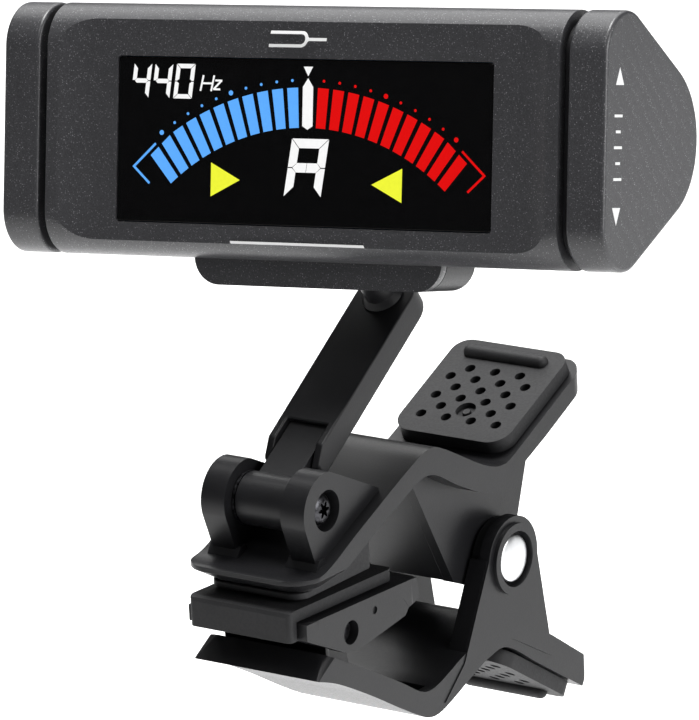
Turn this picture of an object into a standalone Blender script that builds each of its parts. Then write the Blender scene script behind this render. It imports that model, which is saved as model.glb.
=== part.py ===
"""Clip-on instrument tuner: display head on a tilt-and-swivel neck, carried by a spring clip.

Frame: X across, +Y back towards the clip handles, +Z up, metres.
Origin: centre of the jaw mouth, where the clip grips the instrument.
Every side profile is drawn in the clip frame, whose zero is the arm hinge axis.
"""
import math
import bpy
import bmesh
from mathutils import Matrix, Vector

MM = 0.001

# ---------------------------------------------------------------- driving sizes (mm, degrees)
GRIP = (0.0, 2.8, -9.25)          # jaw mouth centre in the clip frame
PIVOT = (31.17, -14.33)           # jaw pivot axis (Y, Z) in the clip frame
PAD_PIN = (1.84, -13.72)          # rocking pad axis (Y, Z)
CLIP_HALF_W = 8.0                 # half width of the levers
EAR_IN, EAR_OUT = 3.58, 6.60      # clevis ears
EAR_R = 4.1
CHEEK_IN, CHEEK_OUT = 3.9, 5.3    # spring housing cheeks
LOW_EAR_IN, LOW_EAR_OUT = 6.8, 8.12
PIN_R = 2.55
ARM_TILT = 33.6                   # arm above the jaw plane, rest pose
SWIVEL = 6.9                      # head turned about the swivel stem, rest pose
HEAD_TILT = -47.7                 # head about the tilt pin, rest pose
ARM_LEN = 26.6                    # hinge axis to swivel axis
ARM_FACE = 2.4                    # arm front face above the hinge axis
ARM_BACK = -0.7
ARM_HALF_W = 3.5
KNUCKLE_H = 6.94                  # tilt axis above the arm face
TILT_PIN = (13.4, -12.4)          # tilt axis (Y, Z) in the head frame
HEAD_HALF_W = 36.0
BODY_HALF_W = 30.6
DIAL_IN = 31.6
CORNER_C, CORNER_R = (4.7, 8.56), 4.7     # front corner circles of the head section
RIDGE_C, RIDGE_R = 12.0, 8.4             # rear ridge circle of the head section
PARTING = 5.5                     # front case to rear case
WALL = 1.5
DISH = 1.1                        # depth of the dished face
WINDOW = (22.5, -9.64, 7.76)      # half width, bottom, top
DIAL_AXIS = 10.2                  # depth of the end dials' axis
CELL_R, CELL_LEN, CELL_Y = 5.25, 44.5, 13.2
THUMB_ANGLE = 24.0                # slope of the upper handle
LOW_THUMB_ANGLE = -32.4           # slope of the lower handle
GAP = 0.15

# ---------------------------------------------------------------- scene reset
for ob in list(bpy.data.objects):
    bpy.data.objects.remove(ob, do_unlink=True)

parts = bpy.data.collections.new("clip_on_tuner")
cutters = bpy.data.collections.new("cutters")
bpy.context.scene.collection.children.link(parts)
bpy.context.scene.collection.children.link(cutters)

COLOURS = {
    "abs": ((0.030, 0.030, 0.034), 0.42, 0.0),
    "case": ((0.060, 0.060, 0.064), 0.45, 0.0),
    "rubber": ((0.022, 0.022, 0.024), 0.75, 0.0),
    "steel": ((0.55, 0.55, 0.57), 0.30, 1.0),
    "bright": ((0.86, 0.87, 0.88), 0.25, 1.0),
    "dark_steel": ((0.10, 0.10, 0.11), 0.35, 1.0),
    "window": ((0.005, 0.005, 0.006), 0.06, 0.0),
    "lcd": ((0.02, 0.05, 0.09), 0.20, 0.0),
    "diffuser": ((0.80, 0.80, 0.82), 0.50, 0.0),
    "board": ((0.02, 0.16, 0.07), 0.45, 0.0),
    "chip": ((0.03, 0.03, 0.03), 0.50, 0.0),
    "brass": ((0.72, 0.52, 0.22), 0.35, 1.0),
    "cell": ((0.20, 0.28, 0.45), 0.30, 0.3),
}


def material(name, kind):
    colour, rough, metal = COLOURS[kind]
    m = bpy.data.materials.new(name)
    m.use_nodes = True
    b = m.node_tree.nodes["Principled BSDF"]
    b.inputs["Base Color"].default_value = (*colour, 1.0)
    b.inputs["Roughness"].default_value = rough
    b.inputs["Metallic"].default_value = metal
    m.diffuse_color = (*colour, 1.0)
    return m


# ---------------------------------------------------------------- joint frames
def empty(name, parent=None, loc=(0, 0, 0), rot=(0, 0, 0)):
    e = bpy.data.objects.new(name, None)
    parts.objects.link(e)
    e.parent = parent
    e.location = [c * MM for c in loc]
    e.rotation_euler = [math.radians(a) for a in rot]
    return e


clip = empty("clip_frame", None, (-GRIP[0], -GRIP[1], -GRIP[2]))
lower_joint = empty("jaw_pivot_axis", clip, (0, *PIVOT))
pad_joint = empty("pad_rock_axis", lower_joint, (0, PAD_PIN[0] - PIVOT[0], PAD_PIN[1] - PIVOT[1]))
arm_joint = empty("arm_hinge_axis", clip, (0, 0, 0), (ARM_TILT, 0, 0))
swivel_joint = empty("swivel_axis", arm_joint, (0, ARM_LEN, ARM_FACE), (0, 0, SWIVEL))
tilt_joint = empty("tilt_axis", swivel_joint, (0, 0, KNUCKLE_H), (HEAD_TILT, 0, 0))
door_joint = empty("battery_door_slide", tilt_joint, (0, 0, 0))
power_joint = empty("power_dial_axis", tilt_joint, (-33.8, DIAL_AXIS - TILT_PIN[0], -TILT_PIN[1]))
calib_joint = empty("calibration_dial_axis", tilt_joint, (33.8, DIAL_AXIS - TILT_PIN[0], -TILT_PIN[1]))

# offset that brings a mesh drawn in the clip, arm or head frame under its joint's empty
IN_CLIP = (clip, (0, 0, 0))
IN_LOWER = (lower_joint, (0, -PIVOT[0], -PIVOT[1]))
IN_PAD = (pad_joint, (0, -PAD_PIN[0], -PAD_PIN[1]))
IN_ARM = (arm_joint, (0, 0, 0))
IN_SWIVEL = (swivel_joint, (0, 0, 0))
IN_HEAD = (tilt_joint, (0, -TILT_PIN[0], -TILT_PIN[1]))
IN_DOOR = (door_joint, (0, -TILT_PIN[0], -TILT_PIN[1]))
IN_POWER = (power_joint, (33.8, -DIAL_AXIS, 0))
IN_CALIB = (calib_joint, (-33.8, -DIAL_AXIS, 0))


def place(ob, frame):
    parent, off = frame
    ob.parent = parent
    ob.location = [c * MM for c in off]
    return ob


def new_object(name, mesh, frame, kind=None, cutter=False, smooth=30):
    ob = bpy.data.objects.new(name, mesh)
    (cutters if cutter else parts).objects.link(ob)
    place(ob, frame)
    if cutter:
        ob.hide_render = True
        ob.display_type = 'WIRE'
    else:
        mesh.materials.append(material(name + "_mat", kind))
        mesh.shade_smooth()
        mesh.set_sharp_from_angle(angle=math.radians(smooth))
    return ob


# ---------------------------------------------------------------- shape helpers (mm in, mesh out)
AXES = {
    # outline x, outline y, extrusion direction
    "X": Matrix(((0, 0, 1), (1, 0, 0), (0, 1, 0))).to_4x4(),    # outline in (Y, Z), thick along X
    "Y": Matrix(((1, 0, 0), (0, 0, -1), (0, 1, 0))).to_4x4(),   # outline in (X, Z), thick along Y
    "Z": Matrix.Identity(4),                                     # outline in (X, Y), thick along Z
}


def prism_mesh(outline, lo, hi, axis):
    """A flat outline (2D curve, filled and extruded) between lo and hi along an axis."""
    cu = bpy.data.curves.new("outline", 'CURVE')
    cu.dimensions = '2D'
    cu.fill_mode = 'BOTH'
    cu.extrude = (hi - lo) / 2 * MM
    sp = cu.splines.new('POLY')
    sp.points.add(len(outline) - 1)
    for p, (a, b) in zip(sp.points, outline):
        p.co = (a * MM, b * MM, 0, 1)
    sp.use_cyclic_u = True
    tmp = bpy.data.objects.new("outline", cu)
    bpy.context.scene.collection.objects.link(tmp)
    bpy.context.view_layer.update()
    dg = bpy.context.evaluated_depsgraph_get()
    me = bpy.data.meshes.new_from_object(tmp.evaluated_get(dg))
    bpy.data.objects.remove(tmp, do_unlink=True)
    bm = bmesh.new()
    bm.from_mesh(me)
    bmesh.ops.remove_doubles(bm, verts=bm.verts, dist=1e-6)
    mid = (lo + hi) / 2 * MM
    shift = {"X": (mid, 0, 0), "Y": (0, mid, 0), "Z": (0, 0, mid)}[axis]
    bmesh.ops.transform(bm, matrix=Matrix.Translation(shift) @ AXES[axis], verts=bm.verts)
    bmesh.ops.dissolve_limit(bm, angle_limit=0.001, verts=bm.verts, edges=bm.edges)
    bmesh.ops.recalc_face_normals(bm, faces=bm.faces)
    bm.to_mesh(me)
    bm.free()
    return me


def box_mesh(lo, hi):
    bm = bmesh.new()
    bmesh.ops.create_cube(bm, size=1.0)
    size = [(b - a) * MM for a, b in zip(lo, hi)]
    mid = [(a + b) / 2 * MM for a, b in zip(lo, hi)]
    bmesh.ops.scale(bm, vec=size, verts=bm.verts)
    bmesh.ops.translate(bm, vec=mid, verts=bm.verts)
    me = bpy.data.meshes.new("box")
    bm.to_mesh(me)
    bm.free()
    return me


def rod_mesh(r, lo, hi, centre, axis="X", n=24, r2=None):
    """A cylinder or cone between lo and hi along an axis; centre is the other two coordinates."""
    bm = bmesh.new()
    bmesh.ops.create_cone(bm, cap_ends=True, segments=n, radius1=r * MM,
                          radius2=(r if r2 is None else r2) * MM, depth=(hi - lo) * MM)
    mid = (lo + hi) / 2
    if axis == "X":
        turn, at = Matrix.Rotation(math.pi / 2, 4, 'Y'), (mid, *centre)
    elif axis == "Y":
        turn, at = Matrix.Rotation(-math.pi / 2, 4, 'X'), (centre[0], mid, centre[1])
    else:
        turn, at = Matrix.Identity(4), (*centre, mid)
    bmesh.ops.transform(bm, matrix=Matrix.Translation([c * MM for c in at]) @ turn, verts=bm.verts)
    me = bpy.data.meshes.new("rod")
    bm.to_mesh(me)
    bm.free()
    return me


def tube_mesh(points, radius, resolution=2):
    """A round wire along points, its ends capped."""
    cu = bpy.data.curves.new("wire", 'CURVE')
    cu.dimensions = '3D'
    cu.bevel_depth = radius * MM
    cu.bevel_resolution = resolution
    cu.use_fill_caps = True
    sp = cu.splines.new('POLY')
    sp.points.add(len(points) - 1)
    for p, co in zip(sp.points, points):
        p.co = (*[c * MM for c in co], 1)
    tmp = bpy.data.objects.new("wire", cu)
    bpy.context.scene.collection.objects.link(tmp)
    bpy.context.view_layer.update()
    dg = bpy.context.evaluated_depsgraph_get()
    me = bpy.data.meshes.new_from_object(tmp.evaluated_get(dg))
    bpy.data.objects.remove(tmp, do_unlink=True)
    bm = bmesh.new()
    bm.from_mesh(me)
    bmesh.ops.remove_doubles(bm, verts=bm.verts, dist=1e-6)
    bmesh.ops.recalc_face_normals(bm, faces=bm.faces)
    bm.to_mesh(me)
    bm.free()
    return me


def turned_mesh(profile, centre, at, axis="X", steps=24):
    """A turned shape: (radius, height) pairs from top to bottom, spun with a Screw modifier."""
    me = bpy.data.meshes.new("profile")
    bm = bmesh.new()
    vs = [bm.verts.new((r * MM, 0, h * MM)) for r, h in profile]
    for a, b in zip(vs, vs[1:]):
        bm.edges.new((a, b))
    bm.to_mesh(me)
    bm.free()
    tmp = bpy.data.objects.new("turned", me)
    bpy.context.scene.collection.objects.link(tmp)
    s = tmp.modifiers.new("spin", 'SCREW')
    s.steps = s.render_steps = steps
    s.use_merge_vertices = True
    s.merge_threshold = 0.00001
    s.use_normal_calculate = True
    bpy.context.view_layer.update()
    out = bpy.data.meshes.new_from_object(tmp.evaluated_get(bpy.context.evaluated_depsgraph_get()))
    bpy.data.objects.remove(tmp, do_unlink=True)
    turn = {"X": Matrix.Rotation(math.pi / 2, 4, 'Y'), "Y": Matrix.Rotation(-math.pi / 2, 4, 'X'),
            "Z": Matrix.Identity(4)}[axis]
    pos = {"X": (at, *centre), "Y": (centre[0], at, centre[1]), "Z": (*centre, at)}[axis]
    bm = bmesh.new()
    bm.from_mesh(out)
    bmesh.ops.transform(bm, matrix=Matrix.Translation([c * MM for c in pos]) @ turn, verts=bm.verts)
    bmesh.ops.recalc_face_normals(bm, faces=bm.faces)
    bm.to_mesh(out)
    bm.free()
    return out


def combine(name, first, frame, kind, steps, smooth=30):
    """One solid from a first mesh and a list of ('UNION'|'DIFFERENCE'|'INTERSECT', mesh) steps."""
    ob = new_object(name, first, frame, kind, smooth=smooth)
    for i, (op, me) in enumerate(steps):
        tool = new_object("%s_tool_%02d" % (name, i), me, frame, cutter=True)
        b = ob.modifiers.new(op.lower() + "_%02d" % i, 'BOOLEAN')
        b.operation = op
        b.object = tool
        b.solver = 'EXACT'
    return ob


def arc(cx, cy, r, a0, a1, step=12):
    n = max(2, int(abs(a1 - a0) / step) + 1)
    return [(cx + r * math.cos(math.radians(a0 + (a1 - a0) * i / n)),
             cy + r * math.sin(math.radians(a0 + (a1 - a0) * i / n))) for i in range(n + 1)]


def smooth_line(points, per=4):
    """Catmull-Rom curve through the points, ends kept."""
    out = []
    p = [points[0]] + list(points) + [points[-1]]
    for i in range(1, len(p) - 2):
        for k in range(per):
            t = k / per
            out.append(tuple(0.5 * ((2 * p[i][j]) + (-p[i - 1][j] + p[i + 1][j]) * t
                             + (2 * p[i - 1][j] - 5 * p[i][j] + 4 * p[i + 1][j] - p[i + 2][j]) * t * t
                             + (-p[i - 1][j] + 3 * p[i][j] - 3 * p[i + 1][j] + p[i + 2][j]) * t ** 3)
                             for j in (0, 1)))
    out.append(tuple(points[-1]))
    return out


def rounded_rect(x0, x1, y0, y1, r0, r1=None, step=18):
    """Rectangle with corner radius r0 at the y0 side and r1 at the y1 side."""
    r1 = r0 if r1 is None else r1
    return (arc(x1 - r0, y0 + r0, r0, -90, 0, step) + arc(x1 - r1, y1 - r1, r1, 0, 90, step)
            + arc(x0 + r1, y1 - r1, r1, 90, 180, step) + arc(x0 + r0, y0 + r0, r0, 180, 270, step))


def taper_mesh(levels):
    """A block whose plan changes with height: levels of (outline, z) with the same number of points."""
    bm = bmesh.new()
    rings = [[bm.verts.new((x * MM, y * MM, z * MM)) for x, y in plan] for plan, z in levels]
    bm.faces.new(rings[0])
    bm.faces.new(rings[-1])
    n = len(rings[0])
    for a, b in zip(rings, rings[1:]):
        for i in range(n):
            j = (i + 1) % n
            bm.faces.new((a[i], a[j], b[j]))
            bm.faces.new((a[i], b[j], b[i]))
    bmesh.ops.recalc_face_normals(bm, faces=bm.faces)
    me = bpy.data.meshes.new("taper")
    bm.to_mesh(me)
    bm.free()
    return me


def along(origin, angle, s, off=0.0):
    """Point s mm along a slope from origin, off mm above it (Y, Z)."""
    a = math.radians(angle)
    return (origin[0] + s * math.cos(a) - off * math.sin(a), origin[1] + s * math.sin(a) + off * math.cos(a))


# ================================================================ CLIP, UPPER HALF
# thickness of the jaw flat, slope, crest, valley and handle follow one wavy band
UP_HANDLE = (32.12, -3.08)
up_top = smooth_line([(-6.75, -6.15), (-6.3, -5.86), (-2.6, -5.75), (3.4, -3.1), (9.6, -0.4), (13.2, 1.1), (15.6, 1.95),
                      (17.6, 2.05), (19.6, 1.25), (22.2, -0.15), (25.6, -2.0), (28.2, -3.15), (30.2, -3.5),
                      UP_HANDLE, along(UP_HANDLE, THUMB_ANGLE, 7.0)], 3)
up_end = [along(UP_HANDLE, THUMB_ANGLE, 16.0), along(UP_HANDLE, THUMB_ANGLE, 16.0, -2.1)]
up_low = smooth_line([along(UP_HANDLE, THUMB_ANGLE, 6.0, -2.2), (34.0, -4.5), (30.6, -5.9), (27.0, -5.75),
                      (22.0, -3.5), (18.6, -1.5), (17.0, -0.85), (15.2, -0.75), (12.6, -1.6), (6.0, -4.3),
                      (0.6, -6.65), (-1.8, -7.75), (-4.3, -7.8), (-5.9, -7.3), (-6.75, -6.5)], 3)
upper_outline = up_top + up_end + up_low

plan = rounded_rect(-CLIP_HALF_W, CLIP_HALF_W, -6.75, 46.8, 3.3, 2.6)
plan_under = rounded_rect(-6.35, 6.35, -4.7, 46.8, 3.0, 2.6)


def clevis_ear(x0, x1):
    """Teardrop ear: round eye on the hinge axis, running out along the lever's slope."""
    eye = arc(0, 0, EAR_R, 78, 197, 10)
    outline = [(9.3, -0.2)] + eye + [(-2.5, -5.0), (-2.3, -6.3), (1.0, -6.0), (9.3, -1.6)]
    return prism_mesh(outline, x0, x1, "X")


def ear_foot(x0, x1):
    return prism_mesh([(-3.0, -6.1), (-2.95, -5.72), (-2.25, -4.75), (-1.2, -4.75), (-1.2, -6.1)], x0, x1, "X")


cheek = ([(16.6, -1.6), (23.9, -15.3), (25.4, -15.9), (28.6, -17.35)] + arc(PIVOT[0], PIVOT[1], 3.95, 255, 372, 14)
         + [(36.3, -11.7), (38.6, -5.3), (39.3, -1.6), (31.0, -4.6), (26.0, -4.4), (20.5, -1.6)])
web = [(16.6, -1.6), (23.8, -15.2), (25.2, -15.4), (19.0, -2.4)]

steps = [('INTERSECT', taper_mesh([(plan_under, -30), (plan_under, -7.8), (plan, -6.4), (plan, 20)]))]
for sx in (-1, 1):
    xs = sorted((sx * EAR_IN, sx * EAR_OUT))
    steps.append(('UNION', clevis_ear(*xs)))
    steps.append(('UNION', ear_foot(*sorted((sx * (EAR_IN - 0.5), sx * (EAR_OUT + 0.35))))))
    steps.append(('UNION', prism_mesh(cheek, *sorted((sx * CHEEK_IN, sx * CHEEK_OUT)), "X")))
steps.append(('UNION', prism_mesh(web, -CHEEK_IN - 0.2, CHEEK_IN + 0.2, "X")))
steps += [
    ('DIFFERENCE', rod_mesh(1.15, -9, 9, (0, 0), n=20)),                      # arm hinge bore
    ('DIFFERENCE', rod_mesh(2.2, 5.0, 8.2, (0, 0), n=28)),                    # screw head counterbore
    ('DIFFERENCE', rod_mesh(2.1, -8.2, -5.0, (0, 0), n=6)),                   # nut pocket
    ('DIFFERENCE', rod_mesh(PIN_R + GAP, -9, 9, PIVOT, n=28)),                # jaw pivot bore
]
combine("upper_lever", prism_mesh(upper_outline, -CLIP_HALF_W, CLIP_HALF_W, "X"), IN_CLIP, "abs", steps, 28)


def thumb_pad(name, frame, origin, angle, side):
    """Raised pad with a grip bar at its outer end; side is +1 above the slope, -1 below it."""
    base, top = 0.12 * side, 1.75 * side
    a = math.radians(angle)
    turn = Matrix.Translation((0, origin[0] * MM, origin[1] * MM)) @ Matrix.Rotation(a, 4, 'X')
    lo, hi = sorted((base, top))
    body = prism_mesh(rounded_rect(-7.3, 7.3, -0.4, 15.0, 2.4, 2.0), lo, hi, "Z")
    bar = prism_mesh(arc(0, 0, 0.8, 0, 360, 30)[:-1], -5.9, 5.9, "X")
    body.transform(turn)
    bar.transform(turn @ Matrix.Translation((0, 12.9 * MM, (top + 0.15 * side) * MM)))
    return combine(name, body, frame, "rubber", [('UNION', bar)], 40)


thumb_pad("upper_thumb_pad", IN_CLIP, UP_HANDLE, THUMB_ANGLE, 1)

# upper jaw pad: a rubber wedge under the jaw, level grip face
wedge = [(-4.6, -8.74), (8.4, -8.74), (8.4, -3.76), (0.5, -7.0), (-2.4, -7.95), (-4.6, -8.0)]
combine("upper_jaw_pad", prism_mesh(wedge, -6.0, 6.0, "X"), IN_CLIP, "rubber",
        [('INTERSECT', prism_mesh(rounded_rect(-6.0, 6.0, -4.6, 8.4, 1.8, 0.8), -12, 0, "Z"))])

# pivot pin, its ends bright and lightly domed
new_object("pivot_pin", turned_mesh([(0, 8.45), (PIN_R - 0.35, 8.45), (PIN_R, 8.15), (PIN_R, -8.15),
                                     (PIN_R - 0.35, -8.45), (0, -8.45)], PIVOT, 0.0, "X", 28),
           IN_CLIP, "bright")


def torsion_spring():
    """Closed coil round the pivot pin with a leg to each handle."""
    r, turns, n, pitch = 3.2, 4.7, 12, 1.12
    half = turns * pitch / 2
    start, pts = 60.0, []
    total = int(turns * n)
    for i in range(total + 1):
        a = math.radians(start - 360.0 * i / n)
        x = -half + 2 * half * i / total
        pts.append((x, PIVOT[0] + r * math.cos(a), PIVOT[1] + r * math.sin(a)))
    end_a = math.radians(start - 360.0 * total / n)
    # legs leave along the tangents
    t0 = (-math.sin(math.radians(start)), math.cos(math.radians(start)))
    up = [(-half, pts[0][1] + 6.6 - 1.6 * (3 - k) * 0.4 - 6.6 + (6.2 - 2.07 * k) * 0.62,
           pts[0][2] + (6.2 - 2.07 * k) * 0.78) for k in range(3)]
    dn_dir = (0.0, -1.0)
    last = pts[-1]
    down = [(half, last[1] + dn_dir[0] * 1.1 * (k + 1), last[2] + dn_dir[1] * 1.1 * (k + 1)) for k in range(2)]
    return tube_mesh(up + pts + down, 0.4, 2)


new_object("torsion_spring", torsion_spring(), IN_CLIP, "steel", smooth=60)

# arm hinge screw: six-lobe pan head in the right ear, nut in the left ear
lobes = [((0.72 + 0.24 * math.cos(math.radians(6 * t))) * math.cos(math.radians(t)),
          (0.72 + 0.24 * math.cos(math.radians(6 * t))) * math.sin(math.radians(t))) for t in range(0, 360, 10)]
combine("arm_hinge_screw", turned_mesh([(0, 6.25), (1.0, 6.2), (1.55, 5.85), (1.75, 5.2), (1.0, 5.2), (1.0, -6.1),
                                        (0, -6.1)], (0, 0), 0.0, "X", 24), IN_CLIP, "dark_steel",
        [('DIFFERENCE', prism_mesh(lobes, 5.45, 6.6, "X"))])
combine("arm_hinge_nut", rod_mesh(1.9, -6.3, -5.15, (0, 0), n=6), IN_CLIP, "steel",
        [('DIFFERENCE', rod_mesh(1.12, -7, -4.5, (0, 0), n=20))])
for side, sx in (("left", -1), ("right", 1)):
    combine("hinge_washer_" + side, rod_mesh(2.9, *sorted((sx * 3.2, sx * 3.5)), (0, 0), n=28), IN_CLIP, "steel",
            [('DIFFERENCE', rod_mesh(1.12, -4, 4, (0, 0), n=20))])

# ================================================================ CLIP, LOWER HALF
LOW_HANDLE = (29.6, -23.95)
low_bottom = smooth_line([(-5.0, -16.95), (-1.4, -18.35), (4.0, -21.25), (9.3, -24.4), (12.3, -26.1), (14.4, -27.1),
                          (16.4, -27.25), (19.0, -26.5), (22.7, -25.1), (26.2, -24.0), LOW_HANDLE,
                          along(LOW_HANDLE, LOW_THUMB_ANGLE, 6.0)], 3)
low_end = [along(LOW_HANDLE, LOW_THUMB_ANGLE, 16.6), along(LOW_HANDLE, LOW_THUMB_ANGLE, 16.6, 3.2)]
low_top = smooth_line([along(LOW_HANDLE, LOW_THUMB_ANGLE, 8.0, 3.5), (31.6, -21.4), (28.4, -20.9), (25.0, -21.3),
                       (21.4, -22.3), (18.6, -23.3), (16.6, -23.95), (14.8, -24.2), (13.0, -23.7), (9.5, -21.55),
                       (4.2, -18.55), (-0.9, -15.85), (-2.7, -14.8)], 3)
lower_outline = low_bottom + low_end + low_top
low_plan = rounded_rect(-CLIP_HALF_W - 0.15, CLIP_HALF_W + 0.15, -5.3, 45.6, 0.7, 2.4)
low_plan_top = rounded_rect(-CLIP_HALF_W - 0.15, CLIP_HALF_W + 0.15, -2.75, 45.6, 2.8, 2.4)

low_ear = ([(17.4, -26.4), (21.3, -23.2)] + arc(PIVOT[0], PIVOT[1], 4.65, 168, -8, 12)
           + [(37.5, -24.9), (37.7, -27.4), (30.4, -23.2), (25.6, -22.9), (20.2, -25.2)])
flange = [(21.3, -23.2), (26.6, -13.3), (28.1, -13.9), (23.4, -24.0)]
tray = [(-1.55, -12.0), (-1.55, -16.6), (1.0, -18.2), (5.0, -20.4), (9.6, -23.1), (12.6, -24.9), (14.6, -25.75),
        (15.6, -25.4), (16.0, -20.0), (10.0, -12.0)]
lug = arc(PAD_PIN[0], PAD_PIN[1], 1.75, -8, 188, 14) + [(-1.0, -18.2), (3.6, -20.7), (5.6, -21.5)]

# the tray is cut to its sloping floor only
steps = [('INTERSECT', taper_mesh([(low_plan, -40), (low_plan, -17.1), (low_plan_top, -14.7), (low_plan_top, 0)])),
         ('DIFFERENCE', prism_mesh(tray, -6.75, 6.75, "X"))]
for sx in (-1, 1):
    steps.append(('UNION', prism_mesh(low_ear, *sorted((sx * LOW_EAR_IN, sx * LOW_EAR_OUT)), "X")))
    steps.append(('UNION', prism_mesh(flange, *sorted((sx * 5.7, sx * 7.9)), "X")))
    steps.append(('UNION', rod_mesh(4.3, *sorted((sx * 5.7, sx * 7.9)), PIVOT, n=28)))
    steps.append(('UNION', rod_mesh(3.9, *sorted((sx * 7.6, sx * 8.6)), PIVOT, n=32)))
    steps.append(('UNION', prism_mesh(lug, *sorted((sx * 3.0, sx * 4.9)), "X")))
    steps.append(('DIFFERENCE', rod_mesh(3.05, *sorted((sx * 7.5, sx * 9.5)), PIVOT, n=32)))
steps += [('DIFFERENCE', rod_mesh(PIN_R + GAP, -10, 10, PIVOT, n=28)),
          ('DIFFERENCE', rod_mesh(1.3, -7, 7, PAD_PIN, n=20))]
combine("lower_lever", prism_mesh(lower_outline, -CLIP_HALF_W, CLIP_HALF_W, "X"), IN_LOWER, "abs", steps, 28)
thumb_pad("lower_thumb_pad", IN_LOWER, along(LOW_HANDLE, LOW_THUMB_ANGLE, 1.0), LOW_THUMB_ANGLE, -1)
new_object("pad_pivot_pin", rod_mesh(1.15, -6.6, 6.6, PAD_PIN, n=20), IN_LOWER, "steel")

# rocking pad holder: shelf with two cheeks, and the rubber boot over its front
# the pad is drawn level, then carried to its place over the pin
PAD_SHIFT = (-1.0, 0.38)


def shifted(pts):
    return [(a + PAD_SHIFT[0], b + PAD_SHIFT[1]) for a, b in pts]


shelf = shifted([(-4.9, -10.95), (15.0, -11.65), (15.3, -14.1), (13.3, -14.5), (12.4, -13.3), (5.6, -12.1), (0.2, -12.0),
                 (-3.9, -12.2), (-4.1, -12.9), (-4.9, -12.9)])
apron = shifted([(-0.35, -16.2), (-0.35, -11.6), (0.25, -11.6), (0.25, -16.2)])
holder_cheek = shifted([(-4.9, -11.0), (14.9, -11.7), (15.3, -14.1), (13.3, -14.55), (12.6, -15.25), (3.9, -16.4),
                        (1.7, -16.0), (-4.9, -12.75)])
steps = [('INTERSECT', prism_mesh(rounded_rect(-7.6, 7.6, -5.9, 14.4, 2.2, 1.6), -20, -5, "Z")),
         ('UNION', prism_mesh(apron, -6.5, 6.5, "X"))]
for sx in (-1, 1):
    steps.append(('UNION', prism_mesh(holder_cheek, *sorted((sx * 5.2, sx * 7.58)), "X")))
steps.append(('DIFFERENCE', rod_mesh(1.3, -10, 10, PAD_PIN, n=20)))
combine("pad_holder", prism_mesh(shelf, -7.6, 7.6, "X"), IN_PAD, "abs", steps, 28)
boot = shifted([(-6.3, -9.95), (-6.05, -9.6), (-5.5, -9.4), (12.2, -9.98), (12.4, -11.3), (-5.15, -10.7), (-5.2, -12.75),
                (-6.3, -12.75)])
combine("pad_rubber", prism_mesh(boot, -6.5, 6.5, "X"), IN_PAD, "rubber",
        [('INTERSECT', prism_mesh(rounded_rect(-6.5, 6.5, -7.3, 11.4, 0.6, 1.1), -20, -5, "Z"))])

# ================================================================ ARM (local frame: Y along the arm, Z out of its face)
TONGUE_HW = 2.45
combine("arm_tongue", rod_mesh(2.85, -3.1, 3.1, (0, 0), n=32), IN_ARM, "abs",
        [('UNION', prism_mesh([(0.5, ARM_BACK), (13.8, ARM_BACK), (13.8, 1.55), (0.5, 1.9)], -TONGUE_HW, TONGUE_HW, "X")),
         ('DIFFERENCE', rod_mesh(1.15, -5, 5, (0, 0), n=20))])
sleeve = rounded_rect(-ARM_HALF_W, ARM_HALF_W, 4.2, ARM_LEN + ARM_HALF_W, 0.6, ARM_HALF_W - 0.01, 15)
combine("arm_sleeve", prism_mesh(sleeve, ARM_BACK, ARM_FACE, "Z"), IN_ARM, "abs",
        [('DIFFERENCE', prism_mesh([(3.0, -2.0), (14.0, -2.0), (14.0, 1.75), (9.2, 1.75), (9.2, 4.0), (3.0, 4.0)],
                                   -TONGUE_HW - GAP, TONGUE_HW + GAP, "X")),
         ('DIFFERENCE', prism_mesh([(3.0, 1.0), (4.2, 1.0), (7.4, 3.0), (3.0, 3.0)], -5, 5, "X")),
         ('DIFFERENCE', rod_mesh(1.25, -3, 5, (0, ARM_LEN), "Z", 20)),
         ('DIFFERENCE', rod_mesh(2.3, -2, 0.75, (0, ARM_LEN), "Z", 28))])

# swivel knuckle: stem through the arm, cross barrel on the tilt axis (local frame at the arm face)
combine("swivel_knuckle", turned_mesh([(0, 6.0), (1.75, 6.0), (1.75, 0.75), (2.3, 0.15), (1.1, 0.15), (1.1, -1.6),
                                       (0, -1.6)], (0, 0), 0.0, "Z", 24), IN_SWIVEL, "abs",
        [('UNION', rod_mesh(2.6, -3.1, 3.1, (0, KNUCKLE_H), "X", 28)),
         ('DIFFERENCE', rod_mesh(0.65, -4, 1.4, (0, 0), "Z", 16)),
         ('DIFFERENCE', rod_mesh(0.95, -5, 5, (0, KNUCKLE_H), "X", 20))])
combine("swivel_screw", turned_mesh([(0, 1.2), (0.5, 1.2), (0.5, -2.05), (1.6, -2.05), (1.6, -2.7), (1.2, -3.0),
                                     (0, -3.0)], (0, 0), 0.0, "Z", 20), IN_SWIVEL, "steel",
        [('DIFFERENCE', box_mesh((-1.3, -0.22, -3.4), (1.3, 0.22, -2.6))),
         ('DIFFERENCE', box_mesh((-0.22, -1.3, -3.4), (0.22, 1.3, -2.6)))])
combine("swivel_washer", rod_mesh(2.1, -1.98, -1.75, (0, 0), "Z", 24), IN_SWIVEL, "steel",
        [('DIFFERENCE', rod_mesh(0.65, -3, 0, (0, 0), "Z", 16))])

# ================================================================ HEAD
FLANK = 59.0      # outward normal of the flat between corner and ridge circles, degrees


def section(inset=0.0, step=10):
    """Head cross-section in (Y, Z): two front corners and the rear ridge, joined by tangents."""
    r, R = CORNER_R - inset, RIDGE_R - inset
    cy, cz = CORNER_C
    return (arc(cy, cz, r, 180, FLANK, step) + arc(RIDGE_C, 0, R, FLANK, -FLANK, step)
            + arc(cy, -cz, r, -FLANK, -180, step))


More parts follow.
